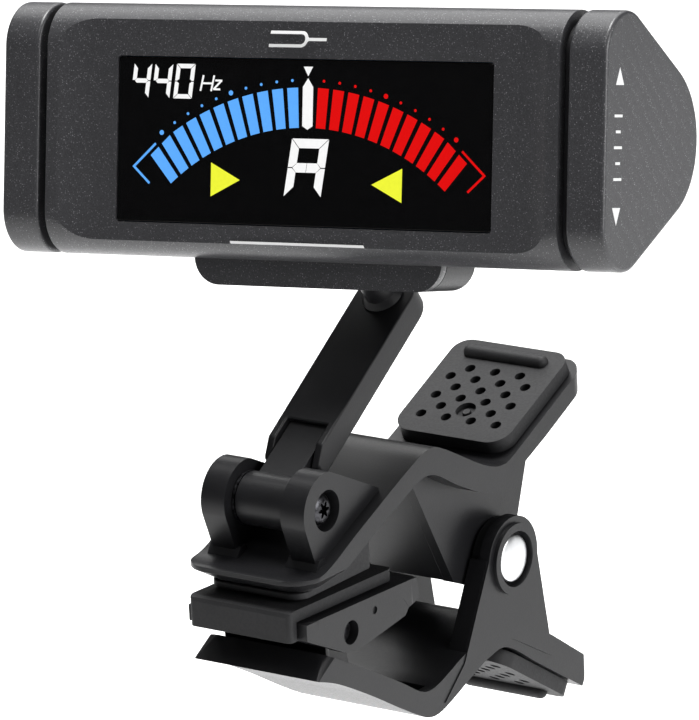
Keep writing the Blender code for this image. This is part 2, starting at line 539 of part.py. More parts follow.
def dish_outline(front):
    """Dished face in (X, Y): flat floor, ends rising to the front plane."""
    half, rise = 24.9, 4.3
    r = (rise ** 2 + DISH ** 2) / (2 * DISH)
    right = [(half + r * math.sin(t), DISH - r + r * math.cos(t))
             for t in [math.asin(rise / r) * i / 5 for i in range(6)]]
    right[-1] = (half + rise + 0.2, -0.05)
    return [(-x, y) for x, y in reversed(right)] + right + [(half + rise + 0.2, front), (-half - rise - 0.2, front)]


def body_x(outline, hw):
    return prism_mesh(outline, -hw, hw, "X")


def head_block(y0, y1):
    return box_mesh((-60, y0, -30), (60, y1, 30))


WX, WZ0, WZ1 = WINDOW
SCREW_X, SCREW_Z = 27.0, 9.8
chin = rounded_rect(-14.7, 15.0, -16.0, -8.0, 3.0, 0.5)

front_steps = [
    ('UNION', prism_mesh(chin, 4.4, PARTING, "Y")),
    ('DIFFERENCE', head_block(PARTING, 40)),
    ('DIFFERENCE', prism_mesh(dish_outline(-6), -30, 30, "Z")),
]
cavity_front = prism_mesh(section(WALL, 15), -BODY_HALF_W + WALL, BODY_HALF_W - WALL, "X")
front_steps += [
    ('DIFFERENCE', box_mesh((-29.1, DISH + WALL, -10.9), (29.1, 8.0, 10.9))),
    ('DIFFERENCE', box_mesh((-WX, -2, WZ0), (WX, 4, WZ1))),
]
for sx in (-1, 1):
    for sz in (-1, 1):
        front_steps.append(('UNION', rod_mesh(1.35, DISH + WALL - 0.3, PARTING - 0.1, (sx * SCREW_X, sz * SCREW_Z), "Y", 16)))
        front_steps.append(('DIFFERENCE', rod_mesh(0.75, 3.0, 8.0, (sx * SCREW_X, sz * SCREW_Z), "Y", 12)))
combine("front_case", body_x(section(), BODY_HALF_W), IN_HEAD, "case", front_steps, 25)

DOOR_X, DOOR_Z = 25.0, 6.2
rear_steps = [('DIFFERENCE', head_block(-10, PARTING + 0.12)),
              ('DIFFERENCE', cavity_front)]
for sx in (-1, 1):
    for sz in (-1, 1):
        rear_steps.append(('UNION', rod_mesh(1.95, PARTING + 0.3, 10.9, (sx * SCREW_X, sz * SCREW_Z), "Y", 20)))
        rear_steps.append(('DIFFERENCE', rod_mesh(0.8, 3.0, 14.0, (sx * SCREW_X, sz * SCREW_Z), "Y", 12)))
        rear_steps.append(('DIFFERENCE', rod_mesh(1.45, 9.6, 16.0, (sx * SCREW_X, sz * SCREW_Z), "Y", 16)))
rear_steps += [('DIFFERENCE', box_mesh((-DOOR_X, 13.0, -DOOR_Z), (DOOR_X, 30, DOOR_Z))),
               ('DIFFERENCE', rod_mesh(2.55, -32, -26, (DIAL_AXIS, 0), n=24)),
               ('DIFFERENCE', rod_mesh(2.55, 26, 32, (DIAL_AXIS, 0), n=24)),
               ('DIFFERENCE', rod_mesh(0.8, -14, -5, (-11.0, 8.6), "Z", 12)),
               ('DIFFERENCE', rod_mesh(0.8, -14, -5, (11.0, 8.6), "Z", 12))]
combine("rear_case", body_x(section(), BODY_HALF_W), IN_HEAD, "case", rear_steps, 25)

# battery door: the strip of the ridge over the cell, with a thumb groove
door_steps = [('DIFFERENCE', prism_mesh(section(WALL, 12), -28, 28, "X")),
              ('INTERSECT', box_mesh((-DOOR_X + GAP, 13.4, -DOOR_Z + GAP), (DOOR_X - GAP, 30, DOOR_Z - GAP))),
              ('DIFFERENCE', box_mesh((18.6, 20.0, -3.0), (19.2, 22, 3.0))),
              ('DIFFERENCE', box_mesh((20.2, 20.0, -3.0), (20.8, 22, 3.0))),
              ('DIFFERENCE', box_mesh((21.8, 20.0, -3.0), (22.4, 22, 3.0)))]
combine("battery_door", body_x(section(0, 8), 26.0), IN_DOOR, "case", door_steps, 25)

# hinge bracket: rear half of the chin, screwed under the rear case, with two lugs for the tilt pin
chin_rear = rounded_rect(-14.7, 15.0, -16.0, -8.0, 3.0, 0.5)
lug_side = arc(TILT_PIN[0], TILT_PIN[1], 2.95, -70, 90, 14) + [(9.6, -10.6), (9.6, -15.4)]
bracket_steps = [('DIFFERENCE', prism_mesh(section(-0.12, 10), -40, 40, "X"))]
for sx in (-1, 1):
    bracket_steps.append(('UNION', prism_mesh(lug_side, *sorted((sx * 3.35, sx * 6.6)), "X")))
bracket_steps += [('DIFFERENCE', prism_mesh(section(-0.12, 10), -41, 41, "X")),
                  ('DIFFERENCE', rod_mesh(4.6, -3.35, 3.35, TILT_PIN, n=32)),
                  ('DIFFERENCE', rod_mesh(0.95, -8, 8, TILT_PIN, n=20)),
                  ('DIFFERENCE', rod_mesh(1.7, 5.6, 9.0, TILT_PIN, n=24)),
                  ('DIFFERENCE', rod_mesh(0.8, -20, -5, (-11.0, 8.6), "Z", 12)),
                  ('DIFFERENCE', rod_mesh(0.8, -20, -5, (11.0, 8.6), "Z", 12)),
                  ('DIFFERENCE', rod_mesh(1.5, -20, -15.0, (-11.0, 8.6), "Z", 20)),
                  ('DIFFERENCE', rod_mesh(1.5, -20, -15.0, (11.0, 8.6), "Z", 20))]
combine("hinge_bracket", prism_mesh(chin_rear, PARTING + 0.12, 11.5, "Y"), IN_HEAD, "abs", bracket_steps, 25)


def small_screw(length, head_r=1.3, head_h=0.8, shank=0.62):
    """Turned screw profile, head up."""
    return [(0, 0), (head_r - 0.25, 0), (head_r, -0.25), (head_r, -head_h), (shank, -head_h), (shank, -length), (0, -length)]


def screws(name, spots, axis, at, length, sign, kind="steel"):
    for i, (a, b) in enumerate(spots):
        prof = small_screw(length)
        if sign < 0:
            prof = [(r, -h) for r, h in reversed(prof)]
        new_object("%s_%d" % (name, i + 1), turned_mesh(prof, (a, b), at, axis, 16), IN_HEAD, kind)


screws("case_screw", [(sx * SCREW_X, sz * SCREW_Z) for sx in (-1, 1) for sz in (-1, 1)], "Y", 10.5, 6.6, 1)
screws("bracket_screw", [(-11.0, 8.6), (11.0, 8.6)], "Z", -15.9, 6.4, -1)
new_object("tilt_pin", turned_mesh([(0, 6.45), (1.2, 6.45), (1.5, 6.15), (1.5, 5.75), (0.8, 5.75), (0.8, -6.4), (0, -6.4)],
                                   TILT_PIN, 0.0, "X", 20), IN_HEAD, "steel")

# window, display stack and electronics
new_object("display_window", box_mesh((-WX + 0.12, DISH + 0.15, WZ0 + 0.12), (WX - 0.12, DISH + 1.35, WZ1 - 0.12)), IN_HEAD, "window")
new_object("lcd_panel", box_mesh((-24.4, 2.75, -10.5), (24.4, 4.15, 8.7)), IN_HEAD, "lcd")
new_object("backlight_panel", box_mesh((-24.0, 4.3, -10.0), (24.0, 5.2, 8.2)), IN_HEAD, "diffuser")
new_object("circuit_board", box_mesh((-25.9, 6.0, -8.2), (25.9, 6.8, 8.2)), IN_HEAD, "board")
new_object("display_connector", box_mesh((-16.0, 5.3, -10.3), (16.0, 5.9, -9.3)), IN_HEAD, "chip")
new_object("main_chip", box_mesh((-13.5, 6.95, -7.9), (-7.0, 7.65, -4.6)), IN_HEAD, "chip")
new_object("quartz_crystal", rod_mesh(0.75, -4.5, -0.5, (7.75, -6.6), "X", 16), IN_HEAD, "steel")
new_object("piezo_pickup", rod_mesh(2.9, 6.95, 7.35, (14.0, -6.9), "Y", 28), IN_HEAD, "brass")
combine("aaa_cell", rod_mesh(CELL_R, -CELL_LEN / 2, CELL_LEN / 2 - 0.9, (CELL_Y, 0), "X", 32), IN_HEAD, "cell",
        [('UNION', rod_mesh(1.9, CELL_LEN / 2 - 1.2, CELL_LEN / 2, (CELL_Y, 0), "X", 20))])


def cone_spring(x0, x1, r0, r1, turns, n=12):
    return [(x0 + (x1 - x0) * i / (turns * n), CELL_Y + (r0 + (r1 - r0) * i / (turns * n)) * math.cos(2 * math.pi * i / n),
             (r0 + (r1 - r0) * i / (turns * n)) * math.sin(2 * math.pi * i / n)) for i in range(int(turns * n) + 1)]


new_object("negative_contact_spring", tube_mesh(cone_spring(-24.8, -22.8, 3.0, 1.6, 3), 0.22, 2), IN_HEAD, "steel", smooth=60)
new_object("positive_contact_plate", box_mesh((22.5, 10.4, -3.2), (22.85, 16.2, 3.2)), IN_HEAD, "steel")


def end_plate(name, sx):
    """Dark neck between the case and an end dial."""
    xs = sorted((sx * (BODY_HALF_W + 0.12), sx * 31.25))
    return combine(name, prism_mesh(section(1.15, 10), *xs, "X"), IN_HEAD, "abs",
                   [('DIFFERENCE', rod_mesh(2.55, *sorted((sx * 29, sx * 33)), (DIAL_AXIS, 0), n=24))])


def dial(name, sx, frame):
    """End dial: full section slab with eased edges and its axle."""
    xs = sorted((sx * DIAL_IN, sx * (HEAD_HALF_W - 0.45)))
    tip = sorted((sx * (HEAD_HALF_W - 0.46), sx * HEAD_HALF_W))
    face = prism_mesh(section(0.35, 10), *tip, "X")
    return combine(name, prism_mesh(section(0, 10), *xs, "X"), frame, "case",
                   [('UNION', face),
                    ('UNION', rod_mesh(2.2, *sorted((sx * 26.4, sx * 32.0)), (DIAL_AXIS, 0), n=24))], 25)


def retaining_ring(name, sx, frame):
    return combine(name, rod_mesh(3.3, *sorted((sx * 28.3, sx * 28.8)), (DIAL_AXIS, 0), n=24), frame, "steel",
                   [('DIFFERENCE', rod_mesh(2.3, *sorted((sx * 27, sx * 30)), (DIAL_AXIS, 0), n=20)),
                    ('DIFFERENCE', box_mesh((min(sx * 27, sx * 30), DIAL_AXIS - 0.9, -5), (max(sx * 27, sx * 30), DIAL_AXIS + 0.9, 0)))])


def rocker(name, sx, frame):
    """Cross arm on the axle's end whose fingers press the two switches."""
    x0, x1 = sorted((sx * 25.1, sx * 26.2))
    side = arc(DIAL_AXIS, 0, 2.0, -60, 60, 15) + [(9.9, 5.6), (8.75, 5.9), (8.75, 4.4), (9.3, 3.2), (9.3, -3.2), (8.75, -4.4),
                                                  (8.75, -5.9), (9.9, -5.6)]
    return new_object(name, prism_mesh(side, x0, x1, "X"), frame, "chip")


def tact_pair(name, sx):
    x0, x1 = sorted((sx * 23.9, sx * 25.8))
    for way, sz in (("upper", 1), ("lower", -1)):
        z0, z1 = sorted((sz * 4.1, sz * 6.3))
        combine("%s_switch_%s" % (name, way), box_mesh((x0, 6.92, z0), (x1, 7.75, z1)), IN_HEAD, "steel",
                [('UNION', rod_mesh(0.55, 7.6, 8.1, (sx * 25.2, sz * 5.15), "Y", 14))])


def return_spring(name, sx):
    r, turns, n = 2.75, 2.0, 12
    pts = []
    for i in range(int(turns * n) + 1):
        a = 2 * math.pi * i / n + math.pi / 2
        pts.append((sx * (28.0 - 1.3 * i / (turns * n)), DIAL_AXIS + r * math.cos(a), r * math.sin(a)))
    head = [(sx * 28.0, DIAL_AXIS + 2.6, r)]
    tail = [(sx * 26.7, DIAL_AXIS + 2.6, r)]
    return new_object(name, tube_mesh(head + pts + tail, 0.2, 2), IN_HEAD, "steel", smooth=60)


for side, sx, frame in (("power", -1, IN_POWER), ("calibration", 1, IN_CALIB)):
    dial(side + "_dial", sx, frame)
    retaining_ring(side + "_retaining_ring", sx, frame)
    rocker(side + "_rocker", sx, frame)
    tact_pair(side, sx)
    return_spring(side + "_return_spring", sx)
end_plate("left_end_plate", -1)
end_plate("right_end_plate", 1)

bpy.context.view_layer.update()
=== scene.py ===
import math
import bpy
import bmesh
from mathutils import Matrix, Vector


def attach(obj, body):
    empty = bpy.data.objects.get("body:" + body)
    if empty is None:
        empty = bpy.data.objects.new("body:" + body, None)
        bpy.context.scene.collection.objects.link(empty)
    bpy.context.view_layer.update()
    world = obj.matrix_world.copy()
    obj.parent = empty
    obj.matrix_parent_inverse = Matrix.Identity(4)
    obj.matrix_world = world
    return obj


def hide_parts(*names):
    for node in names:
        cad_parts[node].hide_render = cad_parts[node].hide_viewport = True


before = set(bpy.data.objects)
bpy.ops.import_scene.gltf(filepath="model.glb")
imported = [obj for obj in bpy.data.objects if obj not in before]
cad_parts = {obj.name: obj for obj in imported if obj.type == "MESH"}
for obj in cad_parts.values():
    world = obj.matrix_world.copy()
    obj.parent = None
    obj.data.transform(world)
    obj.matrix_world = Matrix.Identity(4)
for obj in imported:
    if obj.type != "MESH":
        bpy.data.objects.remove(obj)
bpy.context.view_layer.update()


MM = 0.001
R = math.radians

# ---------------------------------------------------------------- sizes, millimetres and degrees
GRIP = (0.0, 2.8, -9.25)
PIVOT = (31.17, -14.33)
PAD_PIN = (1.84, -13.72)
CLIP_HALF_W = 8.0
EAR_IN, EAR_OUT, EAR_R = 3.58, 6.60, 4.1
CHEEK_IN, CHEEK_OUT = 3.9, 5.3
LOW_EAR_IN, LOW_EAR_OUT = 6.8, 8.12
PIN_R = 2.55
ARM_TILT, SWIVEL, HEAD_TILT = 33.6, 6.9, -47.7
ARM_LEN, ARM_FACE, ARM_BACK, ARM_HALF_W = 26.6, 2.4, -0.7, 3.5
KNUCKLE_H = 6.94
TILT_PIN = (13.4, -12.4)
HEAD_HALF_W, BODY_HALF_W, DIAL_IN = 36.0, 30.6, 31.6
CORNER_C, CORNER_R = (4.7, 8.56), 4.7
RIDGE_C, RIDGE_R = 12.0, 8.4
PARTING, WALL, DISH = 5.5, 1.5, 1.1
WX, WZ0, WZ1 = 22.5, -9.64, 7.76
DIAL_AXIS = 10.2
THUMB_ANGLE, LOW_THUMB_ANGLE = 24.0, -32.4
UP_HANDLE, LOW_HANDLE = (32.12, -3.08), (29.6, -23.95)
GAP = 0.15
TONGUE_HW = 2.45
FLANK = 59.0
SCREW_X, SCREW_Z = 27.0, 9.8
DOOR_X, DOOR_Z = 25.0, 6.2


def T(x, y, z):
    return Matrix.Translation((x * MM, y * MM, z * MM))


M_CLIP = T(-GRIP[0], -GRIP[1], -GRIP[2])
M_ARM = M_CLIP @ Matrix.Rotation(R(ARM_TILT), 4, 'X')
M_SWIVEL = M_ARM @ T(0, ARM_LEN, ARM_FACE) @ Matrix.Rotation(R(SWIVEL), 4, 'Z')
M_HEAD = M_SWIVEL @ T(0, 0, KNUCKLE_H) @ Matrix.Rotation(R(HEAD_TILT), 4, 'X') @ T(0, -TILT_PIN[0], -TILT_PIN[1])

# ---------------------------------------------------------------- materials
def new_material(name, colour, rough, metal=0.0):
    m = bpy.data.materials.new(name)
    m.use_nodes = True
    b = m.node_tree.nodes["Principled BSDF"]
    b.inputs["Base Color"].default_value = (*colour, 1.0)
    b.inputs["Roughness"].default_value = rough
    b.inputs["Metallic"].default_value = metal
    m.diffuse_color = (*colour, 1.0)
    return m, m.node_tree, b


def coords(nt):
    n = nt.nodes.new("ShaderNodeTexCoord")
    return n.outputs["Object"]


def noise(nt, vec, scale, detail=3.0, rough=0.55):
    n = nt.nodes.new("ShaderNodeTexNoise")
    n.inputs["Scale"].default_value = scale
    n.inputs["Detail"].default_value = detail
    n.inputs["Roughness"].default_value = rough
    nt.links.new(vec, n.inputs["Vector"])
    return n.outputs["Fac"]


def ramp(nt, fac, stops):
    n = nt.nodes.new("ShaderNodeValToRGB")
    el = n.color_ramp.elements
    while len(el) < len(stops):
        el.new(0.5)
    for e, (p, c) in zip(el, stops):
        e.position = p
        e.color = (*c, 1.0) if len(c) == 3 else c
    nt.links.new(fac, n.inputs["Fac"])
    return n.outputs["Color"]


def to_range(nt, fac, lo, hi, a=0.0, b=1.0):
    n = nt.nodes.new("ShaderNodeMapRange")
    n.inputs["From Min"].default_value = a
    n.inputs["From Max"].default_value = b
    n.inputs["To Min"].default_value = lo
    n.inputs["To Max"].default_value = hi
    nt.links.new(fac, n.inputs["Value"])
    return n.outputs["Result"]


def bump(nt, height, strength, distance, prev=None):
    n = nt.nodes.new("ShaderNodeBump")
    n.inputs["Strength"].default_value = strength
    n.inputs["Distance"].default_value = distance
    nt.links.new(height, n.inputs["Height"])
    if prev is not None:
        nt.links.new(prev, n.inputs["Normal"])
    return n.outputs["Normal"]


def mix(nt, fac, a, b):
    n = nt.nodes.new("ShaderNodeMix")
    n.data_type = 'RGBA'
    nt.links.new(fac, n.inputs["Factor"])
    for sock, v in ((n.inputs[6], a), (n.inputs[7], b)):
        if isinstance(v, tuple):
            sock.default_value = (*v, 1.0)
        else:
            nt.links.new(v, sock)
    return n.outputs[2]


def moulded(name, colour, rough, grain=5200.0, depth=0.000018, spread=0.10, var=0.14, spec=0.5, fleck=None):
    """Moulded plastic: fine spark-eroded grain, slight colour and gloss variation, optional metallic fleck."""
    m, nt, b = new_material(name, colour, rough)
    c = coords(nt)
    fine = noise(nt, c, grain, 2.0)
    broad = noise(nt, c, 190.0, 3.0)
    lo = tuple(max(0.0, v * (1 - var)) for v in colour)
    hi = tuple(v * (1 + var) for v in colour)
    base = ramp(nt, broad, [(0.3, lo), (0.7, hi)])
    if fleck:
        v = nt.nodes.new("ShaderNodeTexVoronoi")
        v.inputs["Scale"].default_value = fleck[0]
        nt.links.new(c, v.inputs["Vector"])
        spot = ramp(nt, v.outputs["Distance"], [(fleck[1], (1, 1, 1)), (fleck[1] + 0.16, (0, 0, 0))])
        pick = nt.nodes.new("ShaderNodeSeparateColor")
        nt.links.new(v.outputs["Color"], pick.inputs["Color"])
        keep = ramp(nt, pick.outputs[0], [(0.35, (0, 0, 0)), (1.0, (1, 1, 1))])
        mul = nt.nodes.new("ShaderNodeMix")
        mul.data_type = 'RGBA'
        mul.blend_type = 'MULTIPLY'
        mul.inputs["Factor"].default_value = 1.0
        nt.links.new(spot, mul.inputs[6])
        nt.links.new(keep, mul.inputs[7])
        base = mix(nt, mul.outputs[2], base, fleck[2])
        dark = ramp(nt, noise(nt, c, fleck[0] * 1.3, 1.0), [(0.35, (0.72, 0.72, 0.72)), (0.62, (1.1, 1.1, 1.1))])
        mul2 = nt.nodes.new("ShaderNodeMix")
        mul2.data_type = 'RGBA'
        mul2.blend_type = 'MULTIPLY'
        mul2.inputs["Factor"].default_value = 1.0
        nt.links.new(base, mul2.inputs[6])
        nt.links.new(dark, mul2.inputs[7])
        base = mul2.outputs[2]
    nt.links.new(base, b.inputs["Base Color"])
    nt.links.new(to_range(nt, fine, rough - spread, rough + spread, 0.25, 0.75), b.inputs["Roughness"])
    nt.links.new(bump(nt, fine, 0.6, depth), b.inputs["Normal"])
    b.inputs["Specular IOR Level"].default_value = spec
    return m


def metal(name, colour, rough, scale=900.0, depth=0.000004, mottle=0.0):
    m, nt, b = new_material(name, colour, rough, 1.0)
    c = coords(nt)
    n1 = noise(nt, c, scale, 4.0)
    n2 = noise(nt, c, 3800.0, 2.0)
    lo = tuple(v * (0.86 - mottle) for v in colour)
    hi = tuple(min(1.0, v * (1.06 + mottle)) for v in colour)
    nt.links.new(ramp(nt, n1, [(0.3, lo), (0.7, hi)]), b.inputs["Base Color"])
    nt.links.new(to_range(nt, n1, rough * 0.75, min(1.0, rough * 1.35), 0.3, 0.7), b.inputs["Roughness"])
    nt.links.new(bump(nt, n2, 0.4, depth), b.inputs["Normal"])
    return m


def glow(name, colour, strength, rough=0.12):
    """A lit display segment: its colour comes from the lamp behind it, under the window's gloss."""
    m, nt, b = new_material(name, tuple(v * 0.25 for v in colour), rough)
    c = coords(nt)
    n = noise(nt, c, 2600.0, 2.0)
    lo = tuple(v * 0.955 for v in colour)
    nt.links.new(ramp(nt, n, [(0.35, lo), (0.65, colour)]), b.inputs["Emission Color"])
    b.inputs["Emission Strength"].default_value = strength
    nt.links.new(to_range(nt, n, rough * 0.8, rough * 1.2), b.inputs["Roughness"])
    return m


MAT = {
    "case": moulded("case_charcoal", (0.034, 0.034, 0.037), 0.36, 4200.0, 0.000020, 0.08, 0.06, 0.5,
                    (5200.0, 0.16, (0.24, 0.24, 0.25))),
    "clip": moulded("clip_black", (0.0085, 0.0085, 0.0095), 0.36, 5200.0, 0.000010, 0.07, 0.10, 0.26),
    "neck": moulded("neck_black", (0.0080, 0.0080, 0.0090), 0.38, 5200.0, 0.000010, 0.07, 0.10, 0.26),
    "rubber": moulded("pad_rubber_black", (0.0130, 0.0130, 0.0140), 0.60, 3600.0, 0.000026, 0.08, 0.10, 0.28),
    "bright": metal("pin_bright", (0.74, 0.75, 0.76), 0.34, 500.0),
    "steel": metal("plated_steel", (0.60, 0.60, 0.62), 0.28),
    "dark_steel": metal("blackened_steel", (0.055, 0.055, 0.060), 0.34, 2400.0, 0.00002, 0.45),
    "brass": metal("piezo_brass", (0.74, 0.53, 0.22), 0.34),
    "board": moulded("solder_resist", (0.02, 0.16, 0.07), 0.40),
    "chip": moulded("chip_black", (0.028, 0.028, 0.028), 0.50),
    "diffuser": moulded("light_guide_white", (0.80, 0.80, 0.82), 0.50, 3000.0, 0.00001, 0.08, 0.02),
    "lcd": moulded("lcd_cell", (0.02, 0.05, 0.09), 0.18, 3000.0, 0.000003, 0.04, 0.05),
    "cell": metal("cell_jacket", (0.20, 0.28, 0.45), 0.32),
    "print": moulded("white_print", (0.62, 0.62, 0.62), 0.45, 5200.0, 0.000006, 0.06, 0.03),
    "blue": glow("segment_blue", (0.095, 0.345, 0.83), 1.0),
    "red": glow("segment_red", (0.62, 0.003, 0.003), 1.0),
    "white": glow("segment_white", (0.78, 0.78, 0.78), 1.0),
    "yellow": glow("segment_yellow", (0.72, 0.76, 0.035), 1.0),
}


def window_material():
    m, nt, b = new_material("window_black", (0.0016, 0.0016, 0.0018), 0.05)
    c = coords(nt)
    n = noise(nt, c, 900.0, 2.0)
    nt.links.new(ramp(nt, n, [(0.3, (0.0012, 0.0012, 0.0014)), (0.7, (0.0020, 0.0020, 0.0022))]), b.inputs["Base Color"])
    nt.links.new(to_range(nt, n, 0.035, 0.06), b.inputs["Roughness"])
    nt.links.new(bump(nt, noise(nt, c, 5000.0, 2.0), 0.05, 0.000001), b.inputs["Normal"])
    b.inputs["Specular IOR Level"].default_value = 0.45
    return m


MAT["window"] = window_material()

# ---------------------------------------------------------------- shape helpers
AXES = {
    "X": Matrix(((0, 0, 1), (1, 0, 0), (0, 1, 0))).to_4x4(),
    "Y": Matrix(((1, 0, 0), (0, 0, -1), (0, 1, 0))).to_4x4(),
    "Z": Matrix.Identity(4),
}


def temp(mesh, name="tmp"):
    ob = bpy.data.objects.new(name, mesh)
    bpy.context.scene.collection.objects.link(ob)
    return ob


def evaluated(ob):
    bpy.context.view_layer.update()
    dg = bpy.context.evaluated_depsgraph_get()
    return bpy.data.meshes.new_from_object(ob.evaluated_get(dg))


def prism(outline, lo, hi, axis="X"):
    cu = bpy.data.curves.new("outline", 'CURVE')
    cu.dimensions = '2D'
    cu.fill_mode = 'BOTH'
    cu.extrude = (hi - lo) / 2 * MM
    sp = cu.splines.new('POLY')
    sp.points.add(len(outline) - 1)
    for p, (a, b) in zip(sp.points, outline):
        p.co = (a * MM, b * MM, 0, 1)
    sp.use_cyclic_u = True
    tmp = temp(cu)
    me = evaluated(tmp)
    bpy.data.objects.remove(tmp, do_unlink=True)
    bm = bmesh.new()
    bm.from_mesh(me)
    bmesh.ops.remove_doubles(bm, verts=bm.verts, dist=1e-6)
    mid = (lo + hi) / 2 * MM
    shift = {"X": (mid, 0, 0), "Y": (0, mid, 0), "Z": (0, 0, mid)}[axis]
    bmesh.ops.transform(bm, matrix=Matrix.Translation(shift) @ AXES[axis], verts=bm.verts)
    bmesh.ops.dissolve_limit(bm, angle_limit=0.001, verts=bm.verts, edges=bm.edges)
    bmesh.ops.recalc_face_normals(bm, faces=bm.faces)
    bm.to_mesh(me)
    bm.free()
    return me


def block(lo, hi):
    bm = bmesh.new()
    bmesh.ops.create_cube(bm, size=1.0)
    bmesh.ops.scale(bm, vec=[(b - a) * MM for a, b in zip(lo, hi)], verts=bm.verts)
    bmesh.ops.translate(bm, vec=[(a + b) / 2 * MM for a, b in zip(lo, hi)], verts=bm.verts)
    me = bpy.data.meshes.new("box")
    bm.to_mesh(me)
    bm.free()
    return me


def rod(r, lo, hi, centre, axis="X", n=64, r2=None):
    bm = bmesh.new()
    bmesh.ops.create_cone(bm, cap_ends=True, segments=n, radius1=r * MM,
                          radius2=(r if r2 is None else r2) * MM, depth=(hi - lo) * MM)
    mid = (lo + hi) / 2
    if axis == "X":
        turn, at = Matrix.Rotation(math.pi / 2, 4, 'Y'), (mid, *centre)
    elif axis == "Y":
        turn, at = Matrix.Rotation(-math.pi / 2, 4, 'X'), (centre[0], mid, centre[1])
    else:
        turn, at = Matrix.Identity(4), (*centre, mid)
    bmesh.ops.transform(bm, matrix=Matrix.Translation([c * MM for c in at]) @ turn, verts=bm.verts)
    me = bpy.data.meshes.new("rod")
    bm.to_mesh(me)
    bm.free()
    return me


def wire(points, radius, resolution=6):
    cu = bpy.data.curves.new("wire", 'CURVE')
    cu.dimensions = '3D'
    cu.bevel_depth = radius * MM
    cu.bevel_resolution = resolution
    cu.use_fill_caps = True
    sp = cu.splines.new('POLY')
    sp.points.add(len(points) - 1)
    for p, co in zip(sp.points, points):
        p.co = (*[c * MM for c in co], 1)
    tmp = temp(cu)
    me = evaluated(tmp)
    bpy.data.objects.remove(tmp, do_unlink=True)
    return me


def turned(profile, centre, at, axis="X", steps=72):
    me = bpy.data.meshes.new("profile")
    bm = bmesh.new()
    vs = [bm.verts.new((r * MM, 0, h * MM)) for r, h in profile]
    for a, b in zip(vs, vs[1:]):
        bm.edges.new((a, b))
    bm.to_mesh(me)
    bm.free()
    tmp = temp(me)
    s = tmp.modifiers.new("spin", 'SCREW')
    s.steps = s.render_steps = steps
    s.use_merge_vertices = True
    s.merge_threshold = 0.00001
    s.use_normal_calculate = True
    out = evaluated(tmp)
    bpy.data.objects.remove(tmp, do_unlink=True)
    turn = {"X": Matrix.Rotation(math.pi / 2, 4, 'Y'), "Y": Matrix.Rotation(-math.pi / 2, 4, 'X'),
            "Z": Matrix.Identity(4)}[axis]
    pos = {"X": (at, *centre), "Y": (centre[0], at, centre[1]), "Z": (*centre, at)}[axis]
    bm = bmesh.new()
    bm.from_mesh(out)
    bmesh.ops.transform(bm, matrix=Matrix.Translation([c * MM for c in pos]) @ turn, verts=bm.verts)
    bmesh.ops.recalc_face_normals(bm, faces=bm.faces)
    bm.to_mesh(out)
    bm.free()
    return out


def arc(cx, cy, r, a0, a1, step=5):
    n = max(2, int(abs(a1 - a0) / step) + 1)
    return [(cx + r * math.cos(R(a0 + (a1 - a0) * i / n)), cy + r * math.sin(R(a0 + (a1 - a0) * i / n)))
            for i in range(n + 1)]


def smooth_line(points, per=8):
    out = []
    p = [points[0]] + list(points) + [points[-1]]
    for i in range(1, len(p) - 2):
        for k in range(per):
            t = k / per
            out.append(tuple(0.5 * ((2 * p[i][j]) + (-p[i - 1][j] + p[i + 1][j]) * t
                             + (2 * p[i - 1][j] - 5 * p[i][j] + 4 * p[i + 1][j] - p[i + 2][j]) * t * t
                             + (-p[i - 1][j] + 3 * p[i][j] - 3 * p[i + 1][j] + p[i + 2][j]) * t ** 3)
                             for j in (0, 1)))
    out.append(tuple(points[-1]))
    return out


def rounded_rect(x0, x1, y0, y1, r0, r1=None, step=7):
    r1 = r0 if r1 is None else r1
    return (arc(x1 - r0, y0 + r0, r0, -90, 0, step) + arc(x1 - r1, y1 - r1, r1, 0, 90, step)
            + arc(x0 + r1, y1 - r1, r1, 90, 180, step) + arc(x0 + r0, y0 + r0, r0, 180, 270, step))


def taper(levels):
    """A block whose plan changes with height: levels of (outline, z) with the same number of points."""
    bm = bmesh.new()
    rings = [[bm.verts.new((x * MM, y * MM, z * MM)) for x, y in plan] for plan, z in levels]
    bm.faces.new(rings[0])
    bm.faces.new(rings[-1])
    n = len(rings[0])
    for a, b in zip(rings, rings[1:]):
        for i in range(n):
            j = (i + 1) % n
            bm.faces.new((a[i], a[j], b[j]))
            bm.faces.new((a[i], b[j], b[i]))
    bmesh.ops.recalc_face_normals(bm, faces=bm.faces)
    me = bpy.data.meshes.new("taper")
    bm.to_mesh(me)
    bm.free()
    return me


def along(origin, angle, s, off=0.0):
    a = R(angle)
    return (origin[0] + s * math.cos(a) - off * math.sin(a), origin[1] + s * math.sin(a) + off * math.cos(a))


def solid(first, steps):
    """The mesh left after a list of ('UNION'|'DIFFERENCE'|'INTERSECT', mesh) steps on a first mesh."""
    ob = temp(first, "work")
    tools = []
    for i, (op, me) in enumerate(steps):
        t = temp(me, "tool")
        tools.append(t)
        b = ob.modifiers.new("step_%02d" % i, 'BOOLEAN')
        b.operation = op
        b.object = t
        b.solver = 'EXACT'
    out = evaluated(ob)
    for o in [ob] + tools:
        bpy.data.objects.remove(o, do_unlink=True)
    return out


